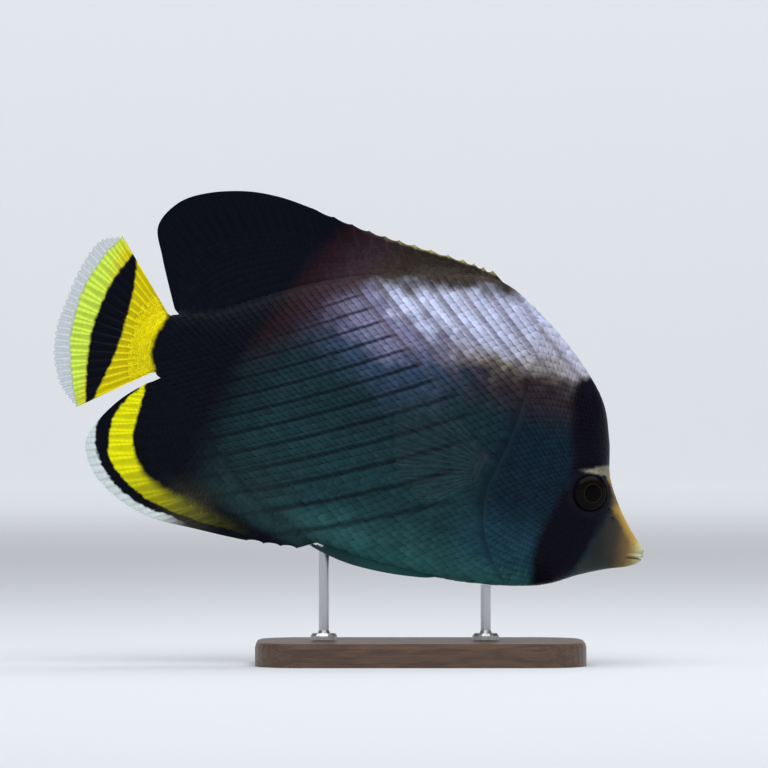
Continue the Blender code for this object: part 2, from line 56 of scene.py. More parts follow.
# Pose, as in the solids
PITCH = math.radians(15)
COS, SIN = math.cos(PITCH), math.sin(PITCH)
BALANCE_AFT = 64.3
BELLY_HEIGHT = 20.0
TAIL_SWAY = 3.2
SWAY_START = 84.0
STANDARD_LENGTH = 132.3
TOTAL_LENGTH = 160.0

# Body, as in the solids
WIDEST = -0.14
GILL_TOP = 8.0
GILL_BULGE = 7.45
GILL_LEVEL = -0.15
GILL_BOTTOM = 5.2
GILL_STEP = 0.45
STATIONS = np.array((
    (0.0, -19.0, 0.9, -22.4, 1.5),
    (2.2, -17.2, 3.6, -24.0, 2.6),
    (5.6, -13.9, 9.0, -26.2, 4.0),
    (9.8, -8.9, 15.2, -29.4, 5.9),
    (13.6, -2.6, 21.8, -33.4, 7.8),
    (16.0, 5.8, 29.0, -35.9, 9.3),
    (20.3, 15.3, 36.6, -37.5, 10.3),
    (29.0, 24.0, 45.0, -38.7, 11.0),
    (40.4, 32.0, 54.4, -39.3, 11.3),
    (53.0, 37.9, 65.0, -39.5, 11.1),
    (67.0, 36.4, 76.0, -39.2, 10.3),
    (81.5, 32.4, 87.6, -37.0, 8.9),
    (95.5, 26.6, 98.6, -31.6, 7.2),
    (108.4, 19.4, 109.6, -23.6, 5.4),
    (120.4, 12.2, 120.8, -14.0, 3.7),
    (132.3, 7.7, 132.3, -7.2, 2.5),
))
LAST = len(STATIONS) - 1.0

# Face, as in the solids
EYE_CENTRE = np.array((17.8, 6.5, -8.3))
EYE_RADIUS = 5.0
EYE_DEPTH = 2.8
EYE_TURN = math.radians(22)
EYE_RAISE = math.radians(4)
EYE_OPEN = 4.55
ORBIT_RIM = 0.5
MOUTH_AFT = 4.6
MOUTH_FRONT_UP = -20.7
MOUTH_CORNER_UP = -21.8
LIP = 0.4
NOSTRILS = ((11.9, -11.0, 0.55), (10.3, -13.0, 0.45))

# Rims around the eye and the nostrils, as rings of (radius, rise), the nostrils' in shares of their radius
ORBIT_OUTER = 6.2
ORBIT_INNER = 5.2
ORBIT_CREST = ((6.2, -0.34), (5.9, -0.16), (5.6, -0.02), (5.3, 0.1), (5.05, 0.15), (4.85, 0.1), (4.7, -0.06))
ORBIT_LIP = ((4.56, 0.18), (4.5, -0.25))
NOSTRIL_RIM = ((1.75, -0.3), (1.45, -0.06), (1.2, 0.07), (1.0, 0.06), (0.85, -0.08), (0.7, -0.5), (0.3, -0.9))

# Fins, as in the solids
SHEATH = 1.15
SPINE_COUNT = 13
SPINY_START = 52.6
SOFT_START = 94.0
SOFT_END = 130.2
SOFT_RAY_COUNT = 24
ANAL_START = 81.3
ANAL_SOFT_START = 90.0
ANAL_END = 130.6
ANAL_SPINE_COUNT = 3
ANAL_RAY_COUNT = 20
CAUDAL_RAY_COUNT = 17
SPINY_MARGIN = np.array(((56.0, 40.2), (64.0, 41.0), (77.0, 41.4), (89.0, 41.8), (103.6, 43.5)))
SOFT_MARGIN = np.array((
    (104.0, 43.5), (113.0, 44.2), (122.0, 43.4), (131.4, 40.4), (138.0, 36.0), (141.4, 29.0),
    (138.4, 21.8), (134.6, 14.6), (131.8, 9.6),
))
ANAL_MARGIN = np.array((
    (86.0, -41.3), (94.4, -42.3), (103.4, -42.9), (113.2, -43.2), (123.2, -43.4), (132.5, -41.2),
    (141.0, -36.2), (145.0, -29.4), (143.6, -23.4), (139.6, -16.6), (134.8, -11.4), (132.4, -9.6),
))
CAUDAL_MARGIN = np.array((
    (149.6, 24.2), (155.0, 21.6), (158.0, 14.0), (159.4, 5.0), (160.0, -3.0), (158.6, -10.5), (155.0, -17.0),
    (149.8, -21.2),
))
PECTORAL_AFT = 45.6
PECTORAL_UP = -9.2
PECTORAL_ROOT = 6.4
PECTORAL_LEAN = math.radians(12)
PECTORAL_RAY_COUNT = 15
PECTORAL_LENGTH = 29.0
PECTORAL_SPREAD = (math.radians(34), math.radians(-42))
PECTORAL_LIFT = math.radians(24)
PELVIC_AFT = 49.0
PELVIC_SIDE = 2.7
PELVIC_FLARE = 1.2
PELVIC_DROP = 3.0
PELVIC_RAY_COUNT = 6
PELVIC_LENGTH = 34.0
PELVIC_ROOT = 2.4
GAP = 0.3

# Coat
SKIN_DEPTH = 0.22
SCALE_SPLIT = 3
LARGEST_SCALE = 3.9
HEAD_ROW_LEVEL = -9.0
HEAD_ROW_SHARE = 0.34
SEED = 41

# Lines on the flank: the places where these smooth fields pass whole numbers.
# Each is a sum of value * aft**i * up**j, in tens of millimetres from its own centre.
REAR_LINES = {
    "centre": (80.0, -5.0),
    "terms": (
        (0, 0, 4.6806), (1, 0, -0.9754), (0, 1, -1.6862), (2, 0, -0.0263), (1, 1, -0.1309), (0, 2, -0.0664),
    ),
}
FRONT_LINES = {
    "centre": (50.0, 20.0),
    "terms": ((0, 0, 3.46), (1, 0, -1.173), (0, 1, 1.69), (0, 2, -0.10)),
}


def smooth_step(low, high, x):
    share = np.clip((np.asarray(x, float) - low) / (high - low), 0.0, 1.0)
    return share * share * (3 - 2 * share)


def spline(values, u):
    """A smooth curve through evenly numbered values, read at u."""
    last = len(values) - 1
    u = np.clip(np.asarray(u, float), 0.0, last)
    i = np.minimum(u.astype(int), last - 1)
    f = u - i
    ends = np.concatenate(([2 * values[0] - values[1]], values, [2 * values[-1] - values[-2]]))
    p0, p1, p2, p3 = (ends[i + k] for k in range(4))
    slope1, slope2 = (p2 - p0) / 2, (p3 - p1) / 2
    return (
        (2 * f**3 - 3 * f**2 + 1) * p1
        + (f**3 - 2 * f**2 + f) * slope1
        + (3 * f**2 - 2 * f**3) * p2
        + (f**3 - f**2) * slope2
    )


def chord_point(u, v):
    """(aft, up) on the middle plane, from the lower edge at v = -1 to the upper edge at v = 1."""
    share = (1 + v) / 2
    low_aft, low_up = spline(STATIONS[:, 2], u), spline(STATIONS[:, 3], u)
    top_aft, top_up = spline(STATIONS[:, 0], u), spline(STATIONS[:, 1], u)
    return low_aft + (top_aft - low_aft) * share, low_up + (top_up - low_up) * share


def edge_half(u, v):
    top = 0.5 + 0.65 * smooth_step(7.6, 9.4, u)
    low = 0.6 + 0.85 * smooth_step(4.5, 6.5, u) - 0.3 * smooth_step(10.2, 11.4, u)
    return np.where(v > 0, top, low)


def body_half(u, v):
    half, edge = spline(STATIONS[:, 4], u), edge_half(u, v)
    above = v > WIDEST
    share = np.where(above, (v - WIDEST) / (1 - WIDEST), (WIDEST - v) / (1 + WIDEST))
    power = np.where(above, 0.5 + 0.30 * smooth_step(5.0, 9.0, u), 0.5 + 0.22 * smooth_step(9.0, 12.0, u))
    return edge + (half - edge) * np.clip(1 - np.clip(share, 0, 1) ** 2.2, 0, None) ** power


def gill_edge(v):
    """The station number of the gill cover's free edge at height share v."""
    above = (GILL_TOP - GILL_BULGE) * (np.clip(v - GILL_LEVEL, 0, None) / (1 - GILL_LEVEL)) ** 2
    below = (GILL_BOTTOM - GILL_BULGE) * (np.clip(GILL_LEVEL - v, 0, None) / (1 + GILL_LEVEL)) ** 2
    return GILL_BULGE + above + below


def gill_share(v):
    """How far the gill cover stands free at height share v: none at the nape, all of it down the side."""
    return (1 - smooth_step(0.30, 0.62, v)) * smooth_step(-1.0, -0.86, v)


def bump(x, middle, width):
    return np.exp(-(((x - middle) / width) ** 2))


def face_relief(aft, up):
    """The rim of the eye, the lips and the cheek's ridge."""
    from_eye = np.hypot(aft - EYE_CENTRE[0], up - EYE_CENTRE[2])
    rim = ORBIT_RIM * bump(from_eye, EYE_RADIUS + 0.7, 1.1)
    lips = LIP * (bump(aft, 1.2, 1.1) - 0.5 * bump(aft, 3.6, 1.0))
    ridge = 0.35 * bump(aft, 30.0 - 0.010 * (up + 10) ** 2, 1.6)
    ridge = ridge * smooth_step(-30, -24, up) * (1 - smooth_step(2, 8, up))
    return rim + lips + ridge


def flank_half(u, v):
    """Half the width of the solids at station u and height share v."""
    aft, up = chord_point(u, v)
    edge = gill_edge(v)
    lift = GILL_STEP * smooth_step(edge - 1.0, edge, u) * gill_share(v)
    head = face_relief(aft, up) * (1 - np.abs(v) ** 12) + lift
    far = np.hypot(aft - PECTORAL_AFT, (up - PECTORAL_UP) * 0.75)
    return body_half(u, v) + np.where(u <= edge, head, 0.5 * np.exp(-((far / 3.4) ** 2)))


def flank_normal(u, v):
    """The direction away from the skin of the left side, as (aft, side, up)."""
    step = 0.01
    u, v = np.clip(u, step, LAST - step), np.clip(v, step - 1, 1 - step)
    points = [np.stack((*chord_point(a, b), body_half(a, b)), -1) for a, b in (
        (u + step, v), (u - step, v), (u, v + step), (u, v - step),
    )]
    normal = np.cross(points[0] - points[1], points[2] - points[3])
    normal = normal[..., (0, 2, 1)]
    normal = normal / np.linalg.norm(normal, axis=-1, keepdims=True)
    return normal * np.sign(normal[..., 1:2] + 1e-9)


def locate(aft, up, rounds=14):
    """The station u and height share v of points given by (aft, up)."""
    middle = (STATIONS[:, 0] + STATIONS[:, 2]) / 2
    u = np.interp(aft, middle, np.arange(len(STATIONS)))
    v = np.zeros_like(u)
    step = 0.01
    for _ in range(rounds):
        u = np.clip(u, 0, LAST - 2 * step)
        a, b = chord_point(u, v)
        a_u, b_u = ((far - near) / step for far, near in zip(chord_point(u + step, v), (a, b)))
        a_v, b_v = ((far - near) / step for far, near in zip(chord_point(u, v + step), (a, b)))
        turn = a_u * b_v - b_u * a_v
        off_a, off_b = aft - a, up - b
        u = u + np.clip((off_a * b_v - off_b * a_v) / turn, -2, 2)
        v = v + np.clip((off_b * a_u - off_a * b_u) / turn, -1, 1)
        v = np.clip(v, -1.6, 1.6)
    return u, v


def sway(aft):
    return TAIL_SWAY * (np.clip(aft - SWAY_START, 0, None) / (TOTAL_LENGTH - SWAY_START)) ** 2


def lowest_drop():
    aft, up = chord_point(np.arange(161) / 161 * LAST, -1.0)
    return float(np.max(-(aft * SIN + up * COS)))


SNOUT_X = BALANCE_AFT * COS
SNOUT_Z = BELLY_HEIGHT + lowest_drop()


def place(aft, side, up):
    """Points of the fish in the frame's metres."""
    aft, side, up = np.broadcast_arrays(aft, side, up)
    x = SNOUT_X - aft * COS + up * SIN
    z = SNOUT_Z + aft * SIN + up * COS
    return np.stack((x, side + sway(aft), z), -1) * MM


def edge_of_body(aft, top):
    """The height of the body's upper or lower edge at distances behind the snout."""
    u = np.linspace(0, LAST, 600)
    edge_aft, edge_up = chord_point(u, 1.0 if top else -1.0)
    return np.interp(aft, edge_aft, edge_up)


# Meshes


def make_piece(name, points, quads, finish, uv=None, values=None, sharp=45, triangles=None):
    """A mesh object of the named points and faces, with its bake map and named values for its material."""
    mesh = bpy.data.meshes.new(name)
    points = np.asarray(points, float).reshape(-1, 3)
    quads = np.asarray(quads, int).reshape(-1, 4)
    triangles = np.zeros((0, 3), int) if triangles is None else np.asarray(triangles, int).reshape(-1, 3)
    corners = np.concatenate((quads.ravel(), triangles.ravel()))
    starts = np.concatenate((np.arange(len(quads)) * 4, len(quads) * 4 + np.arange(len(triangles)) * 3))
    mesh.vertices.add(len(points))
    mesh.vertices.foreach_set("co", points.ravel())
    mesh.loops.add(len(corners))
    mesh.loops.foreach_set("vertex_index", corners)
    mesh.polygons.add(len(starts))
    mesh.polygons.foreach_set("loop_start", starts)
    if uv is not None:
        layer = mesh.uv_layers.new(name=BAKE_MAP)
        layer.data.foreach_set("uv", np.asarray(uv, float).reshape(-1, 2)[corners].ravel())
    mesh.update(calc_edges=True)
    mesh.validate()
    for key, value in (values or {}).items():
        value = np.asarray(value, float)
        if value.ndim == 1:
            mesh.attributes.new(key, "FLOAT", "POINT").data.foreach_set("value", value)
        else:
            mesh.attributes.new(key, "FLOAT_VECTOR", "POINT").data.foreach_set("vector", value.ravel())
    mesh.shade_smooth()
    mesh.set_sharp_from_angle(angle=math.radians(sharp))
    mesh.materials.append(finish)
    piece = bpy.data.objects.new(name, mesh)
    bpy.context.scene.collection.objects.link(piece)
    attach(piece, "root")
    return piece


def grid_quads(columns, rows, start=0, closed=False):
    """Faces of a grid whose points are numbered column by column."""
    i, j = np.meshgrid(np.arange(columns - 1), np.arange(rows if closed else rows - 1), indexing="ij")
    a = start + i * rows + j
    b = start + i * rows + (j + 1) % rows
    return np.stack((a, b, b + rows, a + rows), -1).reshape(-1, 4)


# Materials


class Wire:
    """What comes out of a node. It counts like a number, and each operation on it adds a node."""

    def __init__(self, paint, socket):
        self.paint, self.socket = paint, socket

    def __add__(self, other):
        return self.paint.math("ADD", self, other)

    def __sub__(self, other):
        return self.paint.math("SUBTRACT", self, other)

    def __rsub__(self, other):
        return self.paint.math("SUBTRACT", other, self)

    def __mul__(self, other):
        return self.paint.math("MULTIPLY", self, other)

    def __truediv__(self, other):
        return self.paint.math("DIVIDE", self, other)

    def __abs__(self):
        return self.paint.math("ABSOLUTE", self)

    __radd__, __rmul__ = __add__, __mul__


class Paint:
    """Short names for the nodes of one tree."""

    def __init__(self, tree):
        self.tree = tree

    def node(self, kind, values=(), **settings):
        made = self.tree.nodes.new("ShaderNode" + kind)
        for key, value in settings.items():
            setattr(made, key, value)
        for key, value in dict(values).items():
            self.set(made.inputs[key], value)
        return made

    def get(self, kind, values=(), out=0, **settings):
        """One output of a new node."""
        return Wire(self, self.node(kind, values, **settings).outputs[out])

    def set(self, socket, value):
        if isinstance(value, Wire):
            self.tree.links.new(value.socket, socket)
        elif isinstance(value, tuple) and len(value) == 3 and socket.type == "RGBA":
            socket.default_value = (*value, 1.0)
        else:
            socket.default_value = value

    def math(self, operation, a, b=0.0):
        return self.get("Math", {0: a, 1: b}, operation=operation)

    def sine(self, angle):
        return self.math("SINE", angle)

    def step(self, value, edge, soft):
        """0 below the edge and 1 above it, with a soft change."""
        values = {"Value": value - edge, "From Min": -soft, "From Max": soft}
        return self.get("MapRange", values, interpolation_type="SMOOTHSTEP")

    def below(self, value, edge, soft):
        """1 below the edge and 0 above it."""
        return 1.0 - self.step(value, edge, soft)

    def curve(self, value, points, least=0.0, most=200.0):
        """A smooth curve read at value, through points of (value, result)."""
        low, high = points[0][0], points[-1][0]
        node = self.node("FloatCurve", {"Value": (value - low) / (high - low)})
        line = node.mapping.curves[0]
        while len(line.points) < len(points):
            line.points.new(0.5, 0.5)
        for dot, (x, y) in zip(line.points, points):
            dot.location = (x - low) / (high - low), (y - least) / (most - least)
            dot.handle_type = "AUTO_CLAMPED"
        node.mapping.update()
        return Wire(self, node.outputs[0]) * (most - least) + least

    def mix(self, share, first, second, blend="MIX"):
        return self.get("Mix", {0: share, 6: first, 7: second}, 2, data_type="RGBA", blend_type=blend)

    def layers(self, colour, *coats):
        """A colour under further coats, each a share and a colour."""
        for share, coat in coats:
            colour = self.mix(share, colour, coat)
        return colour

    def shaded(self, colour, shade):
        """A colour times a brightness."""
        grey = self.get("CombineXYZ", {0: shade, 1: shade, 2: shade})
        return self.mix(1.0, colour, grey, "MULTIPLY")

    def spot(self, stretch=None):
        """The place on the model in metres, stretched where a finish has a grain."""
        place = self.get("TexCoord", out="Object")
        return place if stretch is None else self.get("Mapping", {"Vector": place, "Scale": stretch})

    def parts(self, vector):
        return [Wire(self, part) for part in self.node("SeparateXYZ", {0: vector}).outputs]

    def own(self, name):
        """The three values that a mesh keeps under a name."""
        return self.parts(self.get("Attribute", out="Vector", attribute_name=name))

    def noise(self, place, scale, detail=2.0, rough=0.5, out=0):
        values = {"Vector": place, "Scale": scale, "Detail": detail, "Roughness": rough}
        return self.get("TexNoise", values, out)

    def bump(self, height, strength, distance):
        return self.get("Bump", {"Height": height, "Strength": strength, "Distance": distance})


class Finish(Paint):
    """A new material and the nodes that paint it."""

    def __init__(self, name):
        self.material = bpy.data.materials.new(name)
        self.material.use_nodes = True
        super().__init__(self.material.node_tree)

    def surface(self, values):
        """Sets the surface's values by their names, and gives the material."""
        for key, value in values.items():
            self.set(self.tree.nodes["Principled BSDF"].inputs[key], value)
        return self.material


# The fish's colours. The shoulder, flank and cheek colours are partly painted light and shade: pale where the
# top is lit from above, dark where the side turns away
# The shoulder's pale lavender is the body colour brightened as a painted highlight from above; the warmer,
# darker shoulder colours below it are partly painted shade
SHOULDER_LIT = (0.52, 0.56, 0.76)
SHOULDER_NAPE = (0.37, 0.37, 0.46)
SHOULDER_TOP = (0.44, 0.47, 0.64)
SHOULDER_WARM = (0.25, 0.21, 0.145)
SHOULDER_MID = (0.19, 0.19, 0.31)
SHOULDER_LOW = (0.032, 0.058, 0.105)
SHOULDER_LOW_FRONT = (0.024, 0.026, 0.042)
# The flank's dark teal is the pale body colour darkened as painted shade, on the side turned away from the
# light above
FLANK_SHADED = (0.0105, 0.031, 0.040)
FLANK_LOW = (0.012, 0.046, 0.054)
BELLY = (0.036, 0.138, 0.140)
# Painted shadow along the top of the cheek, under the lit shoulder
CHEEK_TOP_SHADOW = (0.026, 0.016, 0.021)
# The cheek's dark teal, lighter low down, is partly painted shade
CHEEK = (0.0045, 0.016, 0.029)
CHEEK_LOW = (0.014, 0.058, 0.088)
PLUM = (0.042, 0.020, 0.034)
RUST = (0.032, 0.009, 0.012)
OLIVE = (0.034, 0.032, 0.022)
DUSK = (0.015, 0.030, 0.033)
SPINY = (0.031, 0.024, 0.018)
SPINY_EDGE = (0.55, 0.50, 0.20)
LINE_DARK = (0.0035, 0.0075, 0.013)
# The shoulder's lines are much lighter than the lower set: the same dark lines with painted light from above
LINE_UPPER = (0.11, 0.08, 0.10)
BLACK = (0.0025, 0.0035, 0.0085)
BAND = (0.0030, 0.0025, 0.0080)
SNOUT = (0.044, 0.039, 0.031)
SNOUT_BACK = (0.018, 0.024, 0.026)
SNOUT_LOW = (0.038, 0.050, 0.048)
SNOUT_TIP = (0.19, 0.125, 0.048)
SNOUT_END = (0.40, 0.31, 0.12)
# Warm orange along the snout's top, partly its own colour and partly a painted highlight from the light above
SNOUT_TOP_WARM_LIT = (0.50, 0.31, 0.06)
LIPS = (0.46, 0.47, 0.28)
WEDGE = (0.26, 0.24, 0.18)
YELLOW = (0.80, 0.68, 0.004)
YELLOW_BAND = (0.90, 0.88, 0.005)
YELLOW_PALE = (0.68, 0.92, 0.09)
WHITE = (0.72, 0.80, 0.78)
CLEAR = (0.45, 0.52, 0.58)


# How strongly skin, scales and fins mirror
GLOSS = 0.05


def pattern_and_light_group():
    """The fish's pattern as colours by place, with painted light and shade from above in parts of it, shared
    by its skin, scales and fins.
    """
    tree = bpy.data.node_groups.new("pattern_and_painted_light", "ShaderNodeTree")
    paint = Paint(tree)
    spot = paint.spot()
    from_snout = paint.get("VectorMath", {0: spot, 1: (SNOUT_X * MM, 0, SNOUT_Z * MM)}, operation="SUBTRACT")
    true_aft, true_up = (
        paint.get("VectorMath", {0: from_snout, 1: way}, "Value", operation="DOT_PRODUCT")
        for way in ((-COS / MM, 0, SIN / MM), (SIN / MM, 0, COS / MM))
    )
    shake = paint.parts(paint.noise(spot, 520.0, 2.0, 0.6, 1))
    aft, up = (true + (off - 0.5) * 1.3 for true, off in zip((true_aft, true_up), shake))

    colour = flank_colour(paint, aft, up, spot)
    colour = flank_lines(paint, colour, true_aft, true_up, spot)
    colour = head_colour(paint, colour, aft, up)
    colour = back_fin_colour(paint, colour, aft, up, spot)
    colour = rear_colour(paint, colour, aft, up)
    colour = anal_colour(paint, colour, aft, up)
    colour, clear = caudal_colour(paint, colour, aft, up, true_aft, true_up)

    for key, kind in (("Color", "Color"), ("Clear", "Float")):
        tree.interface.new_socket(name=key, in_out="OUTPUT", socket_type="NodeSocket" + kind)
    out = tree.nodes.new("NodeGroupOutput")
    paint.set(out.inputs["Color"], colour)
    paint.set(out.inputs["Clear"], clear)
    return tree


def field(aft, up, lines):
    """One of the smooth fields whose whole numbers are lines."""
    across, high = (aft - lines["centre"][0]) * 0.1, (up - lines["centre"][1]) * 0.1
    total = 0.0
    for i, j, part in lines["terms"]:
        for factor in [across] * i + [high] * j:
            part = factor * part
        total = total + part
    return total


def flank_colour(paint, aft, up, spot):
    """Pale shoulder, dark middle and lighter belly, with cloudy variation. The pale top is partly a painted
    highlight from the light above, and the dark middle is partly painted shade.
    """
    cloud = paint.noise(spot, 60.0, 3.0, 0.55)
    patch = paint.noise(spot, 150.0, 2.0, 0.5)
    mottle = paint.noise(spot, 300.0, 2.0, 0.6)
    high = up + (cloud - 0.5) * 7.0 + (mottle - 0.5) * 5.0 + (patch - 0.5) * 8.0
    low = paint.curve(aft, (
        (20, 12), (30, 12), (38, 11.5), (45, 9.5), (55, 9), (64, 3), (75, 3), (85, 6), (95, 11), (105, 20),
        (115, 30), (130, 40),
    ), 0, 60)
    middle = paint.curve(aft, (
        (20, 18), (28, 16.2), (36, 17.4), (45, 15.0), (55, 16.2), (65, 15.5), (75, 13), (85, 14.5), (95, 19),
        (105, 31), (130, 50),
    ), 0, 60)
    bright = paint.curve(aft, (
        (20, 20), (28, 18.0), (36, 20.0), (45, 18.6), (55, 21.0), (65, 22), (75, 23.5), (82, 28), (88, 36),
        (100, 48), (130, 55),
    ), 0, 60)
    warm, nape = paint.below(aft, 58.0, 10.0), paint.below(aft, 46.0, 9.0)
    # From the belly up to the painted highlight on the shoulder; the dark flank between is partly painted
    # shade
    colour = paint.layers(
        BELLY,
        (paint.step(high, -32.0, 8.0), FLANK_LOW),
        (paint.step(high, -12.0, 11.0), FLANK_SHADED),
        (paint.step(high - low, 0.0, 6.0), paint.mix(warm, SHOULDER_LOW, SHOULDER_LOW_FRONT)),
        (paint.step(high - middle, 0.0, 4.0), paint.mix(warm, SHOULDER_MID, SHOULDER_WARM)),
        (paint.step(high - bright, 0.0, 4.0), paint.mix(nape, SHOULDER_LIT, SHOULDER_NAPE)),
        (paint.step(high - bright, 8.0, 6.0), SHOULDER_TOP),
    )
    return paint.shaded(colour, mottle * 0.44 + 0.78)


def line_mask(paint, phase, half_width):
    """1 on the whole numbers of a field, 0 between them."""
    off = abs(paint.math("FRACT", phase + 0.5) - 0.5)
    return paint.below(off, half_width, half_width * 0.9)


def flank_lines(paint, colour, aft, up, spot):
    """The dark lines: one set rises to the back of the shoulder, the other falls away behind it."""
    front, rear = field(aft, up, FRONT_LINES), field(aft, up, REAR_LINES)
    wave = (paint.noise(spot, 330.0, 2.0) - 0.5) * 0.16
    mask = line_mask(paint, rear + wave, 0.09) * paint.below(front, 0.1, 0.35)
    mask = mask * paint.below(rear, 9.6, 1.2) * paint.step(aft, 51.0, 3.0)
    colour = paint.mix(mask * 0.8, colour, LINE_DARK)
    # Lines across the shoulder, lighter than the lower set as painted light from above
    mask = line_mask(paint, front + wave, 0.13) * paint.step(front, -0.4, 0.5) * paint.step(up, 11.0, 6.0)
    return paint.mix(mask * 0.55, colour, LINE_UPPER)


def head_colour(paint, colour, aft, up):
    """Cheek, snout, lips, the band through the eye and the pale wedge over the eye. The cheek's dark teal is
    partly painted shade with a painted shadow along its top, and the snout's warm top is partly a painted
    highlight.
    """
    # The cheek's dark teal is partly painted shade
    on_cheek = paint.below(aft, 45.0, 7.0) * paint.below(up, 11.0, 4.0)
    cheek = paint.mix(paint.step(up, -21.5, 7.5), CHEEK_LOW, CHEEK)
    cheek = paint.mix(paint.step(up, -33.0, 4.0), BELLY, cheek)
    # A painted shadow along the top of the cheek, under the lit shoulder
    cheek_top_shadow = paint.step(up, 7.5, 5.5) * paint.below(up, 17.5, 3.0) * paint.below(aft, 50.0, 10.0)
    colour = paint.layers(colour, (on_cheek, cheek), (cheek_top_shadow * 0.85, CHEEK_TOP_SHADOW))

    front = paint.curve(up, (
        (-40, 19.5), (-30.4, 16.8), (-21.4, 14.2), (-13.0, 12.2), (-7.2, 11.8), (-1.3, 15.3), (6, 14),
        (16, 14), (30, 14),
    ))
    rear = paint.curve(up, (
        (-40, 25.0), (-33, 26.4), (-27, 27.6), (-20.4, 27.2), (-13.2, 25.2), (-4, 23.4), (5, 26.0),
        (10, 27.0), (14, 28.2), (17.5, 28.1), (20.5, 25.0), (24, 20.0), (30, 16),
    ))
    snout = paint.below(aft, front, 1.4) * paint.below(up, -2.2, 0.8)
    from_brow = up + 19.0 - aft * 1.06
    from_tip = aft + up * -0.1
    # The snout's top is painted warm and bright, partly a painted highlight from above
    on_top = paint.step(from_brow, -2.5, 1.9) * (paint.step(abs(up + 8.3), 1.5, 1.1) * 0.75 + 0.25)
    snout_colour = paint.layers(
        SNOUT,
        (paint.step(from_tip, 12.3, 2.6), SNOUT_BACK),
        (paint.below(up, -25.5, 3.5), SNOUT_LOW),
        (paint.below(from_tip, 8.2, 2.4), SNOUT_TIP),
        (paint.below(from_tip, 5.6, 1.4), SNOUT_END),
        (on_top, SNOUT_TOP_WARM_LIT),
        (paint.below(from_tip, 4.1, 1.1), LIPS),
    )
    band = paint.step(aft, front, 1.3) * paint.below(aft, rear, 1.7)

    middle = (aft - 14.6) * -0.26 - 1.6
    thick = paint.math("MAXIMUM", (22.4 - aft) * 0.17, 0.0)
    wedge = paint.below(abs(up - middle), thick, 0.55) * paint.below(aft, 20.6, 2.0)
    return paint.layers(colour, (snout, snout_colour), (band, BAND), (wedge, WEDGE))


def back_fin_colour(paint, colour, aft, up, spot):
    """The brown spiny fin along the back, with its pale edge."""
    back = paint.curve(aft, (
        (40, 139), (53, 138), (67, 136.4), (81.5, 132.4), (95.5, 126.6), (108.4, 119.4), (120.4, 112.2),
        (140, 107),
    ))
    above = up - (back - 100.0) + (paint.noise(spot, 170.0, 2.0) - 0.5) * 9.0
    depth = paint.curve(aft, ((40, 1.5), (48, 2.5), (64, 3.7), (80, 4.0), (95, 4.5), (110, 6)), 0, 20)
    on_fin = paint.step(above + depth, 0.0, 2.8) * paint.step(aft, 47.0, 4.5)
    colour = paint.mix(on_fin, colour, SPINY)
    margin = paint.curve(aft, (
        (50, 138.5), (56, 140.2), (64, 141.0), (77, 141.4), (89, 141.8), (103.6, 143.5), (110, 144),
    ))
    edge = paint.step(up, margin - 100.8, 0.45) * on_fin * paint.below(aft, 96.0, 5.0)
    return paint.mix(edge * 0.8, colour, SPINY_EDGE)


def rear_colour(paint, colour, aft, up):
    """The black rear, with plum and rust ahead of its upper half and a dusky shade ahead of the lower."""
    front = paint.curve(up, (
        (-46, 84), (-41, 90), (-38, 101), (-35, 110), (-31, 116.5), (-22, 115.8), (-8, 113.6), (2, 112.2),
        (11.2, 108.6), (22.3, 104.6), (34.4, 99.4), (46, 93),
    ))
    ahead = aft - front
    soft = paint.below(up, -4.0, 10.0) * 2.6 + 2.4
    return paint.layers(
        colour,
        (paint.step(ahead, -24.0, 10.0) * paint.below(up, -22.0, 10.0) * 0.8, DUSK),
        (paint.step(ahead, -15.0, 8.0) * paint.step(up, 12.0, 8.0) * 0.85, PLUM),
        (paint.step(ahead, -6.0, 5.0) * paint.step(up, 4.0, 8.0) * 0.9, RUST),
        (paint.step(ahead, -7.0, 8.0) * 0.55, BLACK),
        (paint.step(ahead / soft, -0.1, 1.0), BLACK),
        (paint.below(up, -33.5, 4.0) * paint.step(aft, 110.0, 5.0) * paint.below(aft, 121.0, 5.0), OLIVE),
    )


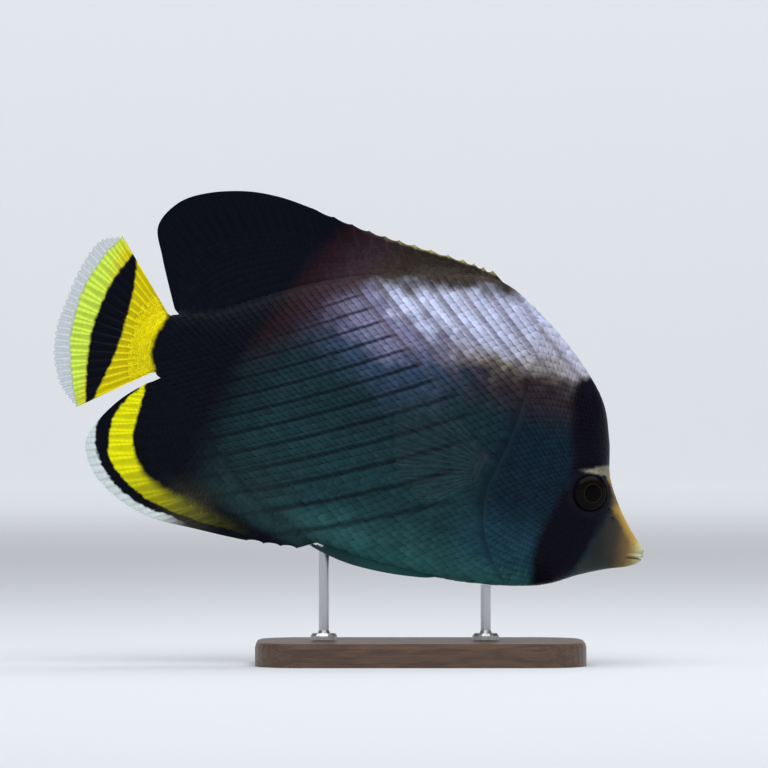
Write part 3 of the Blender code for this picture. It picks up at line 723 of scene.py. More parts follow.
def anal_colour(paint, colour, aft, up):
    """The yellow band, black line and white edge of the fin under the tail, by their distance and
    direction from a point within the body."""
    across, down = aft - 112.0, -20.0 - up
    turn = paint.math("ARCTAN2", down, across) * (180 / math.pi)
    far = paint.math("SQRT", across * across + down * down)
    inner = paint.curve(turn, (
        (-30, 25), (-18, 23.0), (-10, 22.2), (0, 21.9), (10, 22.1), (20, 22.0), (30, 21.5), (40, 20.9),
        (50, 19.6), (60, 18.6), (70, 17.5), (80, 17.3), (100, 18.4), (120, 21.5), (150, 30),
    ), 0, 60)
    outer = paint.curve(turn, (
        (-30, 25.4), (-18, 24.6), (-10, 26.0), (0, 27.5), (10, 28.1), (20, 28.5), (30, 27.4), (40, 25.6),
        (50, 24.1), (60, 22.7), (70, 21.8), (80, 21.0), (100, 21.4), (120, 24.5), (150, 36),
    ), 0, 60)
    white = paint.curve(turn, (
        (-30, 27), (-10, 28.7), (0, 30.6), (10, 31.8), (20, 31.5), (30, 30.1), (40, 28.3), (50, 26.5),
        (60, 24.6), (70, 23.0), (80, 22.6), (100, 23.2), (150, 40),
    ), 0, 60)
    strength = paint.curve(turn, (
        (-30, 1), (26, 1), (38, 0.75), (50, 0.55), (62, 0.36), (75, 0.18), (92, 0.08), (110, 0.03), (130, 0),
        (150, 0),
    ), 0, 1)
    region = paint.step(aft, 93.0, 4.0) * paint.below(up, -10.6, 1.0) * paint.step(turn, -28.0, 6.0)
    soft = paint.step(turn, 35.0, 25.0) * 1.3 + 0.4
    yellow = paint.step((far - inner) / soft, 0.0, 1.0) * paint.below(far, outer, 0.35)
    whiteness = paint.step(far, white, 0.3) * paint.below(turn, 74.0, 12.0)
    return paint.layers(colour, (yellow * region * strength, YELLOW_BAND), (whiteness * region, WHITE))


def between_fins(paint, aft, up):
    """1 on the tail, 0 on the rear edges of the fins above and below it."""
    behind = aft - STANDARD_LENGTH
    below_top = paint.below(up, behind * 1.25 + 8.7, 0.15)
    return below_top * paint.step(up, behind * -0.95 - 8.2, 0.15)


def caudal_colour(paint, colour, aft, up, true_aft, true_up):
    """Yellow tail with a black crescent and a clear edge."""
    start = paint.curve(up, ((-26, 131), (-7.2, 132.6), (-2, 134.8), (2.1, 134.6), (8.3, 132.8), (26, 131)))
    crescent = paint.curve(up, (
        (-26, 149), (-17.6, 146.0), (-12.6, 144.8), (-3, 143.4), (9, 143.1), (17.9, 144.2), (21, 145.2),
        (26, 147),
    ))
    crescent_end = paint.curve(up, (
        (-26, 146), (-17.4, 148.2), (-8.7, 150.1), (-1, 150.8), (7.1, 150.2), (15, 148.2), (21, 145.6),
        (26, 143),
    ))
    end = paint.curve(up, (
        (-26, 147), (-18.1, 150.9), (-9.8, 154.3), (-1, 156.0), (8.2, 155.8), (16.8, 153.4), (23.8, 149.6),
        (26, 148),
    ))
    on_tail = paint.step(aft, start, 0.8) * between_fins(paint, true_aft, true_up)
    yellow = paint.mix(paint.step(aft, 149.0, 3.0), YELLOW, YELLOW_PALE)
    dark = paint.step(aft, crescent, 0.4) * paint.below(aft, crescent_end, 0.4) * on_tail
    clear = paint.step(aft, end, 0.5) * on_tail
    return paint.layers(colour, (on_tail, yellow), (dark, BLACK), (clear, CLEAR)), clear


def skin_material(group):
    """Naked skin, which shows between the scales and on the snout."""
    paint = Finish("fish_skin")
    grain = paint.noise(paint.spot(), 2600.0, 3.0, 0.6)
    fine = paint.noise(paint.spot(), 900.0)
    pattern = paint.get("Group", out="Color", node_tree=group)
    return paint.surface({
        "Base Color": paint.mix((grain - 0.35) * 0.5, pattern, (0.02, 0.018, 0.02)),
        "Roughness": fine * 0.2 + 0.34,
        "Specular IOR Level": GLOSS,
        "Coat Weight": 0.04,
        "Coat Roughness": 0.22,
        "Normal": paint.bump(grain * 0.6 + fine, 0.35, 0.00012),
    })


def scale_material(group):
    """Scales with growth rings, fine spokes and a paler free edge, each of a slightly different tint, and
    painted shade towards the root where each goes under the scale ahead.
    """
    paint = Finish("fish_scales")
    along, across, tint = paint.own("scale_place")
    from_focus = along + 1.3
    reach = paint.math("SQRT", from_focus * from_focus + across * across)
    rings = paint.sine(reach * 46.0)
    spokes = paint.sine(paint.math("ARCTAN2", across, from_focus) * 60.0)
    shade = tint * 0.34 + 0.80 + paint.step(along, 0.55, 0.4) * 0.16
    # Darker towards the root, as painted shade where each scale goes under the one ahead
    shade = shade * (1.0 - paint.below(along, -0.15, 0.45) * 0.30)
    pattern = paint.get("Group", out="Color", node_tree=group)
    return paint.surface({
        "Base Color": paint.shaded(pattern, shade),
        "Roughness": paint.noise(paint.spot(), 700.0) * 0.18 + 0.30,
        "Specular IOR Level": GLOSS,
        "Coat Weight": 0.02,
        "Coat Roughness": 0.2,
        "Normal": paint.bump((rings + spokes) * 0.5, 0.22, 0.00004),
    })


def fin_material(group, name, see_through=False):
    """Fin membrane with segmented rays; the tail's edge is clear."""
    paint = Finish(name)
    ridge, _, length = paint.own("ray_place")
    segments = paint.sine(length * 5.2) * ridge
    cloud = paint.noise(paint.spot(), 450.0)
    shade = ridge * 0.36 + 0.74 + (cloud - 0.5) * 0.25 + segments * 0.05
    pattern = paint.node("Group", node_tree=group)
    if see_through:
        clear = Wire(paint, pattern.outputs["Clear"])
        paint.surface({"Alpha": 1.0 - clear * (0.86 - ridge * 0.38)})
    return paint.surface({
        "Base Color": paint.shaded(Wire(paint, pattern.outputs["Color"]), shade),
        "Roughness": 0.38,
        "Specular IOR Level": GLOSS,
        "Normal": paint.bump((segments + cloud) * 0.5, 0.3, 0.00006),
    })


def clear_fin_material(name, tint, web, ray):
    """A clear fin with pale rays: how much light its membrane stops, and its rays on top of that."""
    paint = Finish(name)
    ridge, reach, length = paint.own("ray_place")
    root = paint.below(reach, 0.06, 0.08)
    membrane = paint.mix(ridge * 0.8, tint, tuple(1.9 * c for c in tint))
    stopped = ridge * ray + web + paint.noise(paint.spot(), 500.0) * 0.02
    return paint.surface({
        # The root takes the flank's colour, with its painted shade
        "Base Color": paint.mix(root, membrane, FLANK_SHADED),
        "Roughness": 0.3,
        "Specular IOR Level": 0.12,
        "Alpha": paint.math("MINIMUM", stopped + root, 1.0),
        "Normal": paint.bump(paint.sine(length * 6.0) * ridge, 0.3, 0.00006),
    })


def eye_material():
    """Black pupil in a dark brown iris with a thin bronze ring, under a wet, glossy surface."""
    paint = Finish("fish_eye")
    far, turn, _ = paint.own("eye_place")
    pupil, white = 0.45, 0.74
    cloud = paint.noise(paint.spot(), 1400.0, 3.0)
    ring = paint.below(abs(far - (pupil + 0.025)), 0.016, 0.014)
    return paint.surface({
        "Base Color": paint.layers(
            (0.002, 0.0015, 0.0015),
            (cloud, (0.006, 0.004, 0.003)),
            ((paint.sine(turn * 64.0) + 1.0) * 0.10, (0.012, 0.007, 0.004)),
            (ring * 0.3, (0.075, 0.045, 0.020)),
            (paint.step(far, white, 0.07), (0.004, 0.0035, 0.005)),
            (paint.below(far, pupil, 0.012), (0.0015, 0.0015, 0.002)),
        ),
        "Roughness": 0.25,
        "Specular IOR Level": 0.012,
        "Coat Weight": 0.11,
        "Coat IOR": 1.3,
        "Coat Roughness": 0.03,
    })


def wood_material():
    """Satin walnut with long grain along the base."""
    paint = Finish("stand_walnut")
    bands = paint.sine(paint.noise(paint.spot((1.0, 9.0, 9.0)), 26.0, 4.0, 0.6) * 34.0)
    fine = paint.noise(paint.spot((1.0, 26.0, 26.0)), 130.0, 3.0, 0.7)
    colour = paint.mix(bands * 0.25 + 0.5, (0.052, 0.026, 0.014), (0.135, 0.070, 0.036))
    return paint.surface({
        "Base Color": paint.mix(paint.step(fine, 0.56, 0.08) * 0.5, colour, (0.028, 0.014, 0.008)),
        "Roughness": fine * 0.18 + 0.36,
        "Coat Weight": 0.2,
        "Coat Roughness": 0.25,
        "Normal": paint.bump(fine, 0.25, 0.00015),
    })


def steel_material():
    """Brushed steel rods."""
    paint = Finish("stand_steel")
    brush = paint.noise(paint.spot((1.0, 1.0, 0.04)), 3200.0, 2.0, 0.6)
    return paint.surface({
        "Base Color": paint.mix(brush, (0.40, 0.40, 0.41), (0.62, 0.62, 0.64)),
        "Metallic": 1.0,
        "Roughness": brush * 0.2 + 0.22,
        "Normal": paint.bump(brush, 0.15, 0.00005),
    })


# Median fins


def along_margin(margin, share):
    u = share * (len(margin) - 1)
    return spline(margin[:, 0], u), spline(margin[:, 1], u)


class MedianFin:
    """A fin in the middle plane: where each of its columns starts and ends, and its rays' numbers."""

    def __init__(self, root_aft, root_up, tip_aft, tip_up, phase, split):
        self.root = np.stack((root_aft, root_up), -1)
        self.tip = np.stack((tip_aft, tip_up), -1)
        self.phase = phase
        self.split = split

    def half(self, reach, ridge):
        """Half the thickness: a fleshy root that thins out, and rays that stand as ridges."""
        reach = np.clip(reach, 0, 1)
        sheath = (SHEATH - 0.55) * (1 - smooth_step(0.0, 0.32, reach))
        web = 0.17 - 0.05 * reach + 0.2 * (1 - smooth_step(0.0, 0.25, reach))
        ray = 0.50 - 0.26 * reach
        return sheath + web + (ray - web) * ridge * (ray > web)

    def at(self, column, reach):
        """(aft, up) at fractional column numbers and shares of the way to the margin."""
        numbers = np.arange(len(self.root))
        root = np.stack([np.interp(column, numbers, self.root[:, k]) for k in range(2)], -1)
        tip = np.stack([np.interp(column, numbers, self.tip[:, k]) for k in range(2)], -1)
        return root + (tip - root) * reach[..., None]


def dorsal_columns(per_spine=12, per_ray=10):
    """The fin along the back: spines with the membrane notched behind each tip, then soft rays."""
    count = (SPINE_COUNT - 1) * per_spine
    phase = np.arange(count) / per_spine
    share = phase / (SPINE_COUNT - 1)
    aft = SPINY_START + (SOFT_START - SPINY_START) * share
    tip_aft, tip_up = along_margin(SPINY_MARGIN, share)
    gap = phase - np.floor(phase)
    notch = (1.1 - 0.7 * share) * np.sin(np.pi * np.clip(gap, 0, 1)) ** 0.6 * (1 - 0.45 * gap)
    spiny = (aft, edge_of_body(aft, True), tip_aft, tip_up - notch, phase)
    count = (SOFT_RAY_COUNT - 1) * per_ray + 1
    ray = np.arange(count) / per_ray
    share = ray / (SOFT_RAY_COUNT - 1)
    aft = SOFT_START + (SOFT_END - SOFT_START) * share**0.92
    tip_aft, tip_up = along_margin(SOFT_MARGIN, share**1.05)
    soft = (aft, edge_of_body(aft, True), tip_aft, tip_up, ray + SPINE_COUNT)
    both = [np.concatenate(pair) for pair in zip(spiny, soft)]
    split = np.concatenate((np.zeros(len(phase)), np.ones(count)))
    return MedianFin(*both, split)


def anal_columns(per_ray=10):
    total = ANAL_SPINE_COUNT + ANAL_RAY_COUNT
    phase = np.arange((total - 1) * per_ray + 1) / per_ray
    share = phase / (total - 1)
    spine_share = ANAL_SPINE_COUNT / (total - 1)
    front = ANAL_START + (ANAL_SOFT_START - ANAL_START) * share / spine_share
    back = ANAL_SOFT_START + (ANAL_END - ANAL_SOFT_START) * (share - spine_share) / (1 - spine_share)
    aft = np.where(share < spine_share, front, back)
    tip_aft, tip_up = along_margin(ANAL_MARGIN, share)
    gap = phase - np.floor(phase)
    notch = 0.5 * np.sin(np.pi * gap) ** 0.6 * (phase < ANAL_SPINE_COUNT)
    return MedianFin(aft, edge_of_body(aft, False), tip_aft, tip_up + notch, phase, phase > ANAL_SPINE_COUNT)


def caudal_columns(per_ray=12):
    phase = np.arange((CAUDAL_RAY_COUNT - 1) * per_ray + 1) / per_ray
    share = phase / (CAUDAL_RAY_COUNT - 1)
    top, low = STATIONS[-1, 1] - 0.5, STATIONS[-1, 3] + 0.5
    up = top + (low - top) * share
    tip_aft, tip_up = along_margin(CAUDAL_MARGIN, share)
    short = 0.010 * (1 - np.cos(4 * np.pi * phase))
    tip_aft, tip_up = tip_aft - (tip_aft - STANDARD_LENGTH) * short, tip_up * (1 - short)
    return MedianFin(np.full_like(up, STANDARD_LENGTH), up, tip_aft, tip_up, phase, np.ones_like(phase))


def ray_ridge(phase, reach, split):
    """How much of a ray's ridge shows at a place: soft rays part in two, and again near the margin."""
    off = np.abs(phase - np.round(phase))
    off = np.abs(off - 0.25 * smooth_step(0.35, 1.0, reach) * split)
    off = np.abs(off - 0.11 * smooth_step(0.62, 1.05, reach) * split)
    width = np.where(split > 0, 0.15 - 0.09 * smooth_step(0.3, 1.0, reach), 0.13 - 0.05 * reach)
    return np.exp(-((off / width) ** 2))


def make_median_fin(name, fin, finish, rows=44, sunk=0.07):
    reach = np.linspace(-sunk, 1.0, rows)
    column = np.arange(len(fin.root), dtype=float)
    c, r = np.meshgrid(column, reach, indexing="ij")
    spot = fin.at(c, r)
    aft, up = spot[..., 0], spot[..., 1]
    ridge = ray_ridge(fin.phase[:, None], np.clip(r, 0, 1), np.asarray(fin.split, float)[:, None])
    half = fin.half(r, ridge)
    half[:, -1] *= 0.6
    length = np.linalg.norm(fin.tip - fin.root, axis=1)[:, None] * r
    return thin_piece(name, (aft, up), half, (ridge, np.clip(r, 0, 1), length), finish)


def thin_piece(name, spot, half, values, finish, side=None, lean=None):
    """A closed sheet with two faces, from grids of points and half thicknesses."""
    aft, up = spot
    columns, rows = aft.shape
    side = np.zeros_like(aft) if side is None else side
    lean = np.zeros_like(aft) if lean is None else lean
    push_aft, push_side = half * np.sin(lean), half * np.cos(lean)
    points = np.concatenate((
        place(aft - push_aft, side + push_side, up).reshape(-1, 3),
        place(aft + push_aft, side - push_side, up).reshape(-1, 3),
    ))
    other = columns * rows
    front = grid_quads(columns, rows)
    back = grid_quads(columns, rows, other)[:, ::-1]
    rim = np.concatenate((
        np.arange(columns) * rows,
        (columns - 1) * rows + np.arange(1, rows),
        np.arange(columns - 2, -1, -1) * rows + rows - 1,
        np.arange(rows - 2, 0, -1),
    ))
    ahead = np.roll(rim, -1)
    edge = np.stack((rim, rim + other, ahead + other, ahead), -1)
    value = np.stack([np.broadcast_to(v, aft.shape).ravel() for v in values], -1)
    wide = 0.46 / max(np.ptp(aft), np.ptp(up))
    flat = np.stack(((aft - aft.min()) * wide, (up - up.min()) * wide), -1).reshape(-1, 2)
    uv = np.concatenate((flat + 0.01, flat + (0.51, 0.51)))
    return make_piece(name, points, np.concatenate((front, back, edge)), finish, uv,
                      {"ray_place": np.concatenate((value, value))}, 60)


# Paired fins


def make_pectoral(word, sign, finish, per_ray=10, rows=44):
    """A fan of rays that leaves the flank behind the gill cover."""
    phase = np.arange((PECTORAL_RAY_COUNT - 1) * per_ray + 1) / per_ray
    share = (phase / (PECTORAL_RAY_COUNT - 1))[:, None]
    row = np.linspace(-0.03, 1, rows)[None, :]
    drop = PECTORAL_ROOT * (0.5 - share)
    aft0 = PECTORAL_AFT - drop * math.tan(PECTORAL_LEAN)
    up0 = PECTORAL_UP + drop
    side0 = flank_half(*locate(aft0, up0)) - 0.25
    turn = PECTORAL_SPREAD[0] + (PECTORAL_SPREAD[1] - PECTORAL_SPREAD[0]) * share
    reach = PECTORAL_LENGTH * (1 - 0.50 * share**1.4) * (0.74 + 0.26 * smooth_step(-0.12, 0.26, share))
    reach = reach * (1 - 0.012 * (1 - np.cos(2 * np.pi * phase[:, None])))
    run = reach * row
    flare = PECTORAL_LIFT * (1 - 0.45 * row)
    aft = aft0 + run * np.cos(turn) * np.cos(flare)
    up = up0 + run * np.sin(turn)
    side = side0 + run * np.sin(flare) * np.cos(turn * 0.6) + 0.3 * row
    ridge = ray_ridge(phase[:, None], row, np.ones_like(share))
    shown = smooth_step(0.03, 0.20, row)
    half = (0.09 + 0.26 * ridge * shown) * (1 - 0.45 * row) + 0.45 * (1 - smooth_step(0.0, 0.18, row))
    bend = smooth_step(0.0, 0.12, row)
    lean = math.pi / 2 * (1 - bend) + flare * bend
    side, lean = sign * side, sign * lean
    return thin_piece("pectoral_" + word, (aft, up), half, (ridge, row, run), finish, side, lean)


def keel_rise(aft, side):
    """How far above the belly's lowest line its surface is, at a distance from the middle plane."""
    u = 7.5 + (aft - 49.6) / 10.5
    low, high = np.full_like(u, -1.0), np.full_like(u, WIDEST)
    for _ in range(30):
        v = (low + high) / 2
        inside = body_half(u, v) < side
        low, high = np.where(inside, v, low), np.where(inside, high, v)
    return chord_point(u, low)[1] - chord_point(u, np.full_like(u, -1.0))[1]


def make_pelvic(word, sign, finish, per_ray=12, rows=44):
    """A folded fan that stands on edge beside the belly's keel, its spine the lowest."""
    phase = np.arange((PELVIC_RAY_COUNT - 1) * per_ray + 1) / per_ray
    share = (phase / (PELVIC_RAY_COUNT - 1))[:, None]
    row = np.linspace(0, 1, rows)[None, :]
    reach = PELVIC_LENGTH * (1 - 0.30 * share**1.4) * (1 - 0.010 * (1 - np.cos(2 * np.pi * phase[:, None])))
    aft = PELVIC_AFT + PELVIC_ROOT * share + reach * row
    side = PELVIC_SIDE + PELVIC_FLARE * (1 - share) * np.sin(np.pi * 0.62 * row)
    ridge = ray_ridge(phase[:, None], row, np.ones_like(share))
    half = (0.12 + 0.24 * ridge) * (1 - 0.35 * row)
    drop = PELVIC_DROP * (1 - share) * (1 - (1 - row) ** 2.2)
    sunk = 0.7 * share + 0.4 * (1 - smooth_step(0.0, 0.10, row))
    up = edge_of_body(aft, False) + keel_rise(aft, side - half) - GAP - drop + sunk
    return thin_piece("pelvic_" + word, (aft, up), half, (ridge, row, reach * row), finish, sign * side)


# Eyes and nostrils


def eye_axes():
    """The ways that the left eye looks, and along and up its rim, as (aft, side, up)."""
    axis = np.array((-math.sin(EYE_TURN) * math.cos(EYE_RAISE), math.cos(EYE_TURN), math.sin(EYE_RAISE)))
    axis = axis / np.linalg.norm(axis)
    across = np.array((math.cos(EYE_TURN), math.sin(EYE_TURN), 0.0))
    return axis, across, np.cross(across, axis)


def round_rim(sides):
    """The way that the eye looks, the angles of a rim around it, and the way out at each."""
    axis, across, upward = eye_axes()
    turn = np.linspace(0, 2 * np.pi, sides, endpoint=False)
    return axis, turn, np.cos(turn)[:, None] * across + np.sin(turn)[:, None] * upward


def place_side(spot, sign):
    """Points of the left side, or of the right side at a sign of -1, in the frame's metres."""
    return place(spot[..., 0], sign * spot[..., 1], spot[..., 2]).reshape(-1, 3)


def ring_faces(count, sides, flip, start=0):
    quads = grid_quads(count, sides, start, closed=True)
    return quads[:, ::-1] if flip else quads


def round_map(share, turn, across=0.5):
    """A round unwrap: each ring's share of the map's width around a centre."""
    return np.stack((across + share * np.cos(turn), 0.5 + share * np.sin(turn)), -1).reshape(-1, 2)


def make_eye(word, sign, finish, sides=96, rings=40):
    """The eyeball, flattened along the way it looks."""
    axis, turn, out = round_rim(sides)
    slope = np.linspace(0, np.pi, rings)[:, None]
    far, rise = np.sin(slope) + 0 * turn, np.cos(slope) + 0 * turn
    spot = EYE_CENTRE + far[..., None] * EYE_RADIUS * out + rise[..., None] * EYE_DEPTH * axis
    value = np.stack((np.where(rise >= 0, far, 1.0), turn + 0 * slope, rise), -1).reshape(-1, 3)
    faces = ring_faces(rings, sides, sign < 0)
    uv = round_map(0.48 * slope / np.pi, turn)
    return make_piece("eye_ball_" + word, place_side(spot, sign), faces, finish, uv, {"eye_place": value}, 80)


def on_flank(aft, up):
    """Points on the outer surface of the left side, as (aft, side, up)."""
    return np.stack((aft, flank_half(*locate(aft, up)), up), -1)


def make_orbit(word, sign, finish, sides=120):
    """The rim of skin around the eye, from the cheek over a low crest and down to the eyeball."""
    axis, turn, out = round_rim(sides)

    def cheek(radius):
        rise = np.full(sides, 1.2)
        for _ in range(12):
            spot = EYE_CENTRE + out * radius + rise[:, None] * axis
            rise = rise + (on_flank(spot[:, 0], spot[:, 2])[:, 1] - spot[:, 1]) * 0.9
        return rise

    outer, inner = cheek(ORBIT_OUTER), cheek(ORBIT_INNER)
    rings = []
    for radius, rise in ORBIT_CREST:
        share = (radius - ORBIT_INNER) / (ORBIT_OUTER - ORBIT_INNER)
        level = inner + (outer - inner) * np.clip(share, -0.6, 1)
        rings.append(EYE_CENTRE + out * radius + (level + rise - SKIN_DEPTH * 0.3)[:, None] * axis)
    ball = EYE_DEPTH * math.sqrt(1 - (ORBIT_LIP[-1][0] / EYE_RADIUS) ** 2)
    rings += [EYE_CENTRE + out * radius + (ball + rise) * axis for radius, rise in ORBIT_LIP]
    faces = ring_faces(len(rings), sides, sign > 0)
    uv = round_map(np.linspace(0.2, 0.48, len(rings))[:, None], turn)
    return make_piece("orbit_" + word, place_side(np.stack(rings), sign), faces, finish, uv, None, 70)


def make_nostrils(word, sign, finish, sides=28):
    """Two small rimmed openings ahead of the eye."""
    axis, turn, out = round_rim(sides)
    count = len(NOSTRIL_RIM)
    points, quads, uvs = [], [], []
    for number, (aft, up, radius) in enumerate(NOSTRILS):
        centre = on_flank(np.array([aft]), np.array([up]))[0]
        rings = np.stack([centre + out * radius * wide + rise * axis for wide, rise in NOSTRIL_RIM])
        points.append(place_side(rings, sign))
        quads.append(ring_faces(count, sides, sign > 0, number * count * sides))
        uvs.append(round_map(np.linspace(0.22, 0.02, count)[:, None], turn, 0.25 + 0.5 * number))
    points, quads, uv = (np.concatenate(part) for part in (points, quads, uvs))
    return make_piece("nostrils_" + word, points, quads, finish, uv, None, 70)


# Skin


def eye_push(aft, half, up):
    """How the skin drops away around the left eyeball: the change of its points' (aft, side, up)."""
    axis = eye_axes()[0]
    off = np.stack((aft, half, up), -1) - EYE_CENTRE
    rise = off @ axis
    far = np.linalg.norm(off - rise[..., None] * axis, axis=-1)
    drop = 2.4 * (1 - smooth_step(EYE_OPEN - 0.1, EYE_OPEN + 0.55, far)) * (rise > -2.5)
    return -drop * axis[:, None, None]


def mouth_push(aft, up):
    """How far lips stand out and the line between them sinks in, at points of the snout."""
    line = MOUTH_FRONT_UP + (MOUTH_CORNER_UP - MOUTH_FRONT_UP) * (aft + 2) / (MOUTH_AFT + 2)
    off = up - line
    fade = 1 - smooth_step(3.0, 4.9, aft)
    roll = 0.36 * bump(np.abs(off), 0.58, 0.34) - 0.12 * bump(np.abs(off), 1.30, 0.25)
    return (roll - 0.85 * bump(off, 0.0, 0.14)) * fade


def edge_rows(u, top, fin, steps):
    """Rows that carry the skin past the body's edge: up the root of a fin, or round a bare edge."""
    v = 1.0 if top else -1.0
    root = np.array(chord_point(u, v))
    run = np.subtract(*(chord_point(np.clip(u + off, 0, LAST), v) for off in (0.05, -0.05)))
    out = v * np.array((-run[1], run[0])) / (np.hypot(*run) + 1e-9)
    tip = np.array([np.interp(root[0], fin.root[:, 0], fin.tip[:, k]) for k in range(2)])
    start, end = fin.root[0, 0], fin.root[-1, 0]
    finned = smooth_step(start, start + 4, root[0]) * (1 - smooth_step(end - 4, end, root[0]))
    edge = np.maximum(edge_half(u, np.full_like(u, v)) - SKIN_DEPTH, 0.2)
    rows = []
    for q in steps:
        aft, up = root + (1 - finned) * out * 0.05 * q + finned * (tip - root) * 0.42 * q
        bare, scaly = edge * math.sqrt(1 - 0.98 * q**2), (edge - 0.08) * (1 - q) ** 0.9 + 0.08
        rows.append((aft, (1 - finned) * bare + finned * scaly, up))
    return rows


def tail_columns(aft, half, up, count=14):
    """The skin's last columns, which thin out over the root of the tail fin."""
    middle = up.mean()
    bulge = 1.7 * (1.2 + 3.4 * np.clip(1 - ((up - middle) / np.abs(up - middle).max()) ** 2, 0, 1))
    return [
        (aft + bulge * s, half * (1 - s) ** 0.75 * 0.96 + 0.1 * s, middle + (up - middle) * (1 + 0.1 * s))
        for s in np.linspace(0, 1, count)[1:]
    ]


def snout_columns(aft, half, up, count=17):
    """The skin's first columns, which close it round the tip of the snout."""
    middle = (up[0] + up[-1]) / 2
    share = (up - middle) / (up[-1] - middle)
    nose = 1.15 * np.clip(1 - np.abs(share) ** 2.6, 0, 1) ** 0.5
    columns = []
    for w in np.linspace(math.pi / 2, 0, count)[:-1]:
        high = middle + (up - middle) * (0.93 + 0.07 * math.cos(w))
        forward = (nose + mouth_push(np.zeros_like(high), high) * nose / 1.15) * math.sin(w)
        columns.append((aft - forward, half * max(math.cos(w), 0.015), high))
    return columns


def make_skin(finish, dorsal, anal, rows=127, head_columns=190, body_columns=108):
    """One skin over the head, body and tail stem, and up the scaly roots of the fins."""
    v = np.sin(np.pi / 2 * np.linspace(-1, 1, rows))
    steps = np.linspace(0, 1, 11)[1:]
    gill, free = gill_edge(v), gill_share(v)
    start = 0.45
    columns = []

    def add_column(u, half):
        low = edge_rows(u[:1], False, anal, steps)[::-1]
        top = edge_rows(u[-1:], True, dorsal, steps)
        aft, up = chord_point(u, v)
        columns.append([
            np.concatenate([*(row[k] for row in low), own, *(row[k] for row in top)])
            for k, own in enumerate((aft, half, up))
        ])

    for s in np.linspace(0, 1, head_columns):
        u = start + (gill - start) * s
        lips = mouth_push(*chord_point(u, v)) * (1 - np.abs(v) ** 8)
        add_column(u, flank_half(u, v) - SKIN_DEPTH + lips)
    rim = flank_half(gill, v) - SKIN_DEPTH
    under = flank_half(gill + 0.02, v) - SKIN_DEPTH
    add_column(gill + 0.012 * free + 0.002, rim - 0.10 * free)
    add_column(gill + 0.014 * free + 0.004, rim + (under - rim) * 0.55 * free)
    add_column(gill - 0.030 * free + 0.006, rim + (under - 0.06 - rim) * free)
    for s in np.linspace(0.0015, 1, body_columns):
        u = gill + (LAST - gill) * s
        add_column(u, flank_half(u, v) - SKIN_DEPTH)

    columns = snout_columns(*columns[0]) + columns + tail_columns(*columns[-1])
    aft, half, up = np.array(columns).transpose(1, 0, 2)
    aft, half, up = np.array((aft, half, up)) + eye_push(aft, half, up)
    ring = np.concatenate((place(aft, half, up), place(aft, -half, up)[:, ::-1]), axis=1)
    count, size = ring.shape[:2]
    rung = np.arange(size // 2 - 1)
    front = np.stack((rung, rung + 1, size - 2 - rung, size - 1 - rung), -1)
    back = front[:, ::-1] + (count - 1) * size
    quads = np.concatenate((grid_quads(count, size, closed=True), front, back))[:, ::-1]
    girth = np.cumsum(np.hypot(np.diff(half, axis=1), np.diff(up, axis=1)), axis=1)
    girth = np.concatenate((np.zeros((count, 1)), girth), axis=1)
    across = (aft + 2) / SKIN_MAP[0]
    down = (girth[:, -1:] - girth + 0.4) / SKIN_MAP[1]
    left, right = (np.stack((across, 0.5 + sign * down), -1) for _, sign in SIDES)
    uv = np.concatenate((left, right[:, ::-1]), axis=1)
    return make_piece("skin", ring.reshape(-1, 3), quads, finish, uv, None, 50)


# Scales


def scale_shape():
    """One scale: four rows of points from its hidden root over its free edge and back under that.

    Each point is (along, across, rise), in shares of its length, half width and lift.
    """
    across = np.linspace(-1, 1, 7)
    root = np.stack((0.10 * across**2 - 0.78, across * 0.62, np.full(7, -0.35)), -1)
    middle = np.stack((-0.02 - 0.26 * across**2, across * 0.98, 0.52 - 0.14 * across**2), -1)
    free = np.stack((0.52 - 0.60 * np.abs(across) ** 2.2, across, 1.0 - 0.22 * across**2), -1)
    return np.concatenate((root, middle, free, free + (0, 0, -0.42)))


def scale_faces():
    k = np.arange(6)
    strips = [
        np.stack((row * 7 + k, row * 7 + k + 1, ahead * 7 + k + 1, ahead * 7 + k), -1)
        for row, ahead in ((0, 1), (1, 2), (2, 3), (3, 0))
    ]
    return np.concatenate((*strips, [(0, 7, 14, 21), (6, 27, 20, 13)]))


SHAPE = scale_shape()
SHAPE_FACES = scale_faces()


def lay_scales(aft, up, run, length, wide):
    """The points of flat scales at their places, as (aft, up), with a row for each scale."""
    along, across = SHAPE[None, :, 0] * length[:, None], SHAPE[None, :, 1] * wide[:, None]
    rise = np.stack((-run[:, 1], run[:, 0]), -1)
    return [
        middle[:, None] + run[:, k, None] * along + rise[:, k, None] * across
        for k, middle in enumerate((aft, up))
    ]


def join_scales(name, finish, sides, root, random):
    """One mesh of many scales, from their points on each side that they cover and their places on its map."""
    count = len(root)
    tint = np.repeat(random.random(count), len(SHAPE))
    shape = np.tile(SHAPE[:, :2] * (1.9, 1), (count, 1))
    own = np.column_stack((shape, tint))
    faces = (SHAPE_FACES[None] + (np.arange(count) * len(SHAPE))[:, None, None]).reshape(-1, 4)
    uv = (root[:, None, :] + SHAPE[None, :, :2] * 0.0015).reshape(-1, 2)
    points, quads, uvs = [], [], []
    for number, (sign, spots) in enumerate(sides):
        points.append(spots.reshape(-1, 3))
        quads.append((faces[:, ::-1] if sign > 0 else faces) + number * len(own))
        uvs.append(uv + 0.5 * number)
    values = {"scale_place": np.tile(own, (len(sides), 1))}
    return make_piece(name, *map(np.concatenate, (points, quads)), finish, np.concatenate(uvs), values, 40)


def pick(spots, keep):
    return tuple(part[keep] for part in spots)


